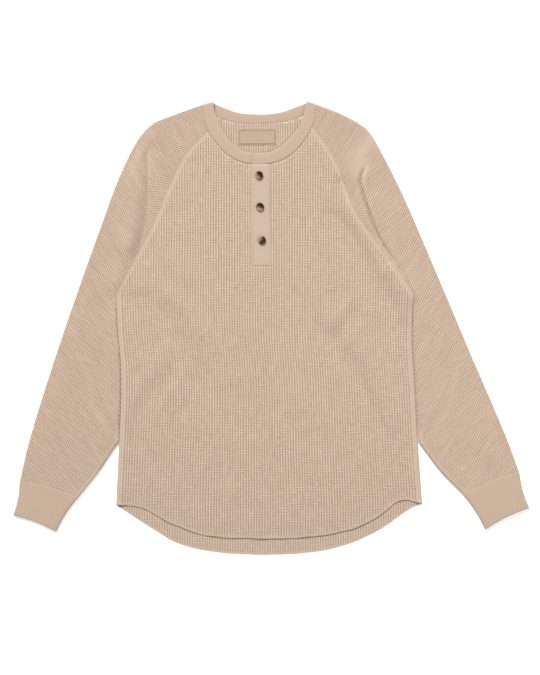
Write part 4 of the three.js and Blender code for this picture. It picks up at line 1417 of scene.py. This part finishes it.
def dashes(name, paths, material, length=2.4, gap=1.0, thick=0.42, lift=0.12):
    """Rows of small stitches along paths of points in space, joined in one mesh."""
    points, faces = [], []
    turn = np.linspace(0, 2 * np.pi, 6, endpoint=False)
    profile = [(-0.5, 0.25), (-0.3, 1.0), (0.3, 1.0), (0.5, 0.25)]
    for path in paths:
        path = np.asarray(path, float)
        run = run_of(path)
        for start in np.arange(gap / 2, run[-1] - length, length + gap):
            ends = [np.array([np.interp(at, run, path[:, k]) for k in range(3)])
                    for at in (start, start + length)]
            along = ends[1] - ends[0]
            forward = unit(along)
            aside = unit(np.cross(forward, (0, 0, 1.0)))
            up = np.cross(aside, forward)
            base = sum(len(p) for p in points)
            round_up = np.cos(turn)[:, None] * aside + np.sin(turn)[:, None] * up
            rings = []
            for share, full in profile:
                centre = mix(ends[0], ends[1], share + 0.5) + up * lift
                rings.append(centre + full * thick / 2 * round_up)
            points.append(np.vstack(rings))
            ids = base + np.arange(len(profile) * 6).reshape(len(profile), 6)
            ids = np.hstack([ids, ids[:, :1]])
            faces.append(grid_triangles(ids))
            for row, order in ((ids[0], (2, 1, 0)), (ids[-1], (0, 1, 2))):
                fan = [(row[0], row[k], row[k + 1]) for k in range(1, 5)]
                faces.append(np.array(fan)[:, order])
    return make_object(name, np.vstack(points), np.vstack(faces), material)


def surface_height(x, y):
    """Top of the seam tape on the front, over plan points."""
    line = smooth(FRONT_HEM)
    share = (x - body_middle(y)) / body_half(y)
    return front_height(x, y, share, line) + KNIT_FACE + TAPE_RISE


def beside(line, distance, inward_x):
    """A line moved sideways in plan, towards x = inward_x."""
    tangent = unit(np.gradient(line, axis=0))
    normal = np.stack([-tangent[:, 1], tangent[:, 0]], -1)
    toward = np.sign(inward_x - line[:, :1]) * np.sign(normal[:, :1])
    return line + normal * toward * distance


def on_front(line):
    return np.column_stack([line, surface_height(line[:, 0], line[:, 1])])


def seam_stitches(material):
    raglans, sides = [], []
    for side in ("left", "right"):
        raglan = RAGLAN_LINE["front", side]
        for distance in RAGLAN_ROWS:
            raglans.append(on_front(beside(raglan, distance, -10.0)[2:-4]))
        sides.append(on_front(beside(smooth(BODY_SIDE[side]), SIDE_ROW, -10.0)[4:-1]))
    return [dashes("stitches_raglan", raglans, material), dashes("stitches_side", sides, material)]


def placket_stitches(material):
    top = PLACKET_HEIGHT + PLACKET_THICK / 2
    levels = np.linspace(PLACKET["bottom"] + 1.5, PLACKET["top"] - 1, 60)
    left, right = placket_sides(levels)
    height = top - placket_fall(levels)
    paths = [np.stack([x, levels, height], 1) for x in (left + PLACKET_ROW, right - PLACKET_ROW)]
    for above in PLACKET_BOX:
        y = PLACKET["bottom"] + above
        left, right = placket_sides(y)
        x = np.linspace(left + PLACKET_ROW, right - PLACKET_ROW, 12)
        paths.append(np.stack([x, np.full_like(x, y), np.full_like(x, top - PLACKET_SLOPE)], 1))
    return dashes("stitches_placket", paths, material, length=1.9, gap=0.8, thick=0.45)


def buttonholes(material):
    """A stitched oval round each buttonhole, mostly under its button."""
    paths = []
    turn = np.linspace(0, 2 * np.pi, 40)
    height = np.full_like(turn, PLACKET_HEIGHT + PLACKET_THICK / 2)
    for x, y in BUTTON_PLACES:
        paths.append(np.stack([x + 1.3 * np.cos(turn), y + 8.3 * np.sin(turn), height], 1))
    return dashes("stitches_buttonholes", paths, material, length=1.0, gap=0.15, thick=0.6)


def label_border(material):
    """A plain frame of fine stitches inside the bare label."""
    inset, height = 1.7, LABEL["height"] + 0.22
    left, right = LABEL["left"] + inset, LABEL["right"] - inset
    low, high = LABEL["bottom"] + inset, LABEL["top"] - inset
    corners = [(left, low), (right, low), (right, high), (left, high), (left, low)]
    path = np.array([(x, y, height) for x, y in corners])
    return dashes("label_border", [path], material, length=1.6, gap=0.1, thick=0.9, lift=0.0)


# Buttons

def lathe(profile, sides):
    turn = np.linspace(0, 2 * np.pi, sides, endpoint=False)
    flat = np.stack([np.cos(turn), np.sin(turn), np.zeros(sides)], 1)
    return np.array([radius * flat + (0, 0, height) for radius, height in profile])


def button(number, place, pale_side, material, thread):
    """A disc with a raised rim and a dished middle, with thread across where its four holes are."""
    rim, top = BUTTON_RADIUS, BUTTON_HEIGHT
    profile = [
        (0.01, 0.0), (rim - 1.2, 0.0), (rim - 0.4, 0.25), (rim, 0.9), (rim, 1.6),
        (rim - 0.25, 2.3), (rim - 0.75, top), (rim - 1.4, top - 0.02), (rim - 1.9, top - 0.45),
        (rim - 2.5, top - 0.75), (2.2, top - 0.85), (1.0, top - 0.85), (0.01, top - 0.85),
    ]
    rings = lathe(profile, 48) + np.array([place[0], place[1], BUTTON_BASE])

    def paler(points):
        aside = (points[:, 0] - place[0]) * math.cos(pale_side)
        along = (points[:, 1] - place[1]) * math.sin(pale_side)
        return {"paler": (aside + along) / BUTTON_RADIUS}

    disc = tube(f"button_disc_{number}", rings, material, paler)
    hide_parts(f"button_{number}")
    hole = BUTTON_HOLE
    paths = []
    for sign in (-1, 1):
        start = np.array([place[0] + sign * hole, place[1] - hole, BUTTON_BASE + top - 0.75])
        end = start + (0, 2 * hole, 0)
        for shift in (-0.22, 0.22):
            paths.append(np.stack([start + (shift, 0, 0), end + (shift, 0, 0)]))
    threads = dashes(f"button_thread_{number}", paths, thread, length=2.4, gap=0.05, thick=0.4)
    return disc


# Stage

def stage_floor():
    size = 3.0
    mesh = bpy.data.meshes.new("floor")
    mesh.from_pydata([(-size, -size, 0), (size, -size, 0), (size, size, 0), (-size, size, 0)],
                     [], [(0, 1, 2, 3)])
    floor = bpy.data.objects.new("floor", mesh)
    bpy.context.scene.collection.objects.link(floor)
    mesh.materials.append(floor_material())


def area_light(name, place, target, size, power):
    light = bpy.data.lights.new(name, "AREA")
    light.shape = "SQUARE"
    light.size = size
    light.energy = power
    obj = bpy.data.objects.new(name, light)
    obj.location = place
    direction = Vector(np.subtract(target, place))
    obj.rotation_euler = direction.to_track_quat("-Z", "Y").to_euler()
    bpy.context.scene.collection.objects.link(obj)


def stage_light():
    scene = bpy.context.scene
    world = bpy.data.worlds.new("studio")
    world.use_nodes = True
    background = world.node_tree.nodes["Background"]
    background.inputs[0].default_value = WHITE
    background.inputs[1].default_value = WORLD_LIGHT
    scene.world = world
    area_light("key", **KEY)
    area_light("fill", **FILL)
    scene.view_settings.view_transform = "Standard"


def stage_camera():
    data = bpy.data.cameras.new("camera")
    data.sensor_fit = "VERTICAL"
    data.sensor_height = CAMERA_SENSOR
    data.lens = CAMERA_LENS
    camera = bpy.data.objects.new("camera", data)
    distance = CAMERA_VIEW_HEIGHT * CAMERA_LENS / CAMERA_SENSOR
    x, y, z = CAMERA_TARGET
    camera.location = (x, y, z + distance)
    bpy.context.scene.collection.objects.link(camera)
    bpy.context.scene.camera = camera


def declare(node_name):
    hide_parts(node_name)


def main():
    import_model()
    stage_camera()
    stage_light()
    stage_floor()
    body_waffle = waffle_material("waffle", body_level, body_pit_shade)
    sleeve_waffle = waffle_material("waffle_sleeve", sleeve_level, sleeve_pit_shade)
    jersey = jersey_material("jersey", JERSEY_SAND, JERSEY_DEEP)
    thread = jersey_material("thread", SAND_PALE, JERSEY_SAND)
    placket_jersey = jersey_material("jersey_placket", PLACKET_SAND, JERSEY_SAND)
    woven = jersey_material("woven", LABEL_SAND, LABEL_DEEP)
    button_thread = jersey_material("button_thread", THREAD_BROWN, THREAD_BROWN)
    frame_thread = jersey_material("frame_thread", FRAME_BROWN, FRAME_BROWN)
    horn = horn_material()

    back = cloth("cloth_back", back_face(3, 2 * BODY_CELL, True),
                 back_face(3, 2 * BODY_CELL, False), body_waffle)
    front = cloth("cloth_front", front_face(3, BODY_CELL / 2, True),
                  front_face(0.5, 2 * BODY_CELL, False), body_waffle)
    sleeves = {side: sleeve(side, sleeve_waffle) for side in ("left", "right")}
    cuffs = {side: cuff(side, jersey) for side in ("left", "right")}
    band = neckband(jersey)
    under = placket_strip("cloth_placket_under", placket_jersey, **PLACKET_UNDER)
    top = placket_strip("cloth_placket_top", placket_jersey, PLACKET_HEIGHT, PLACKET_THICK)
    label = label_patch(woven)
    raglan_sewing, side_sewing = seam_stitches(thread)
    placket_sewing = placket_stitches(thread)
    holes = buttonholes(thread)
    border = label_border(frame_thread)
    for number, place in enumerate(BUTTON_PLACES, start=1):
        button(number, place, PALE_SIDES[number - 1], horn, button_thread)

    declare("back")
    declare("front")
    for side in ("left", "right"):
        declare(f"sleeve_{side}")
        declare(f"cuff_{side}")
    declare("neckband")
    declare("placket_under")
    declare("placket_top")
    declare("label")


main()
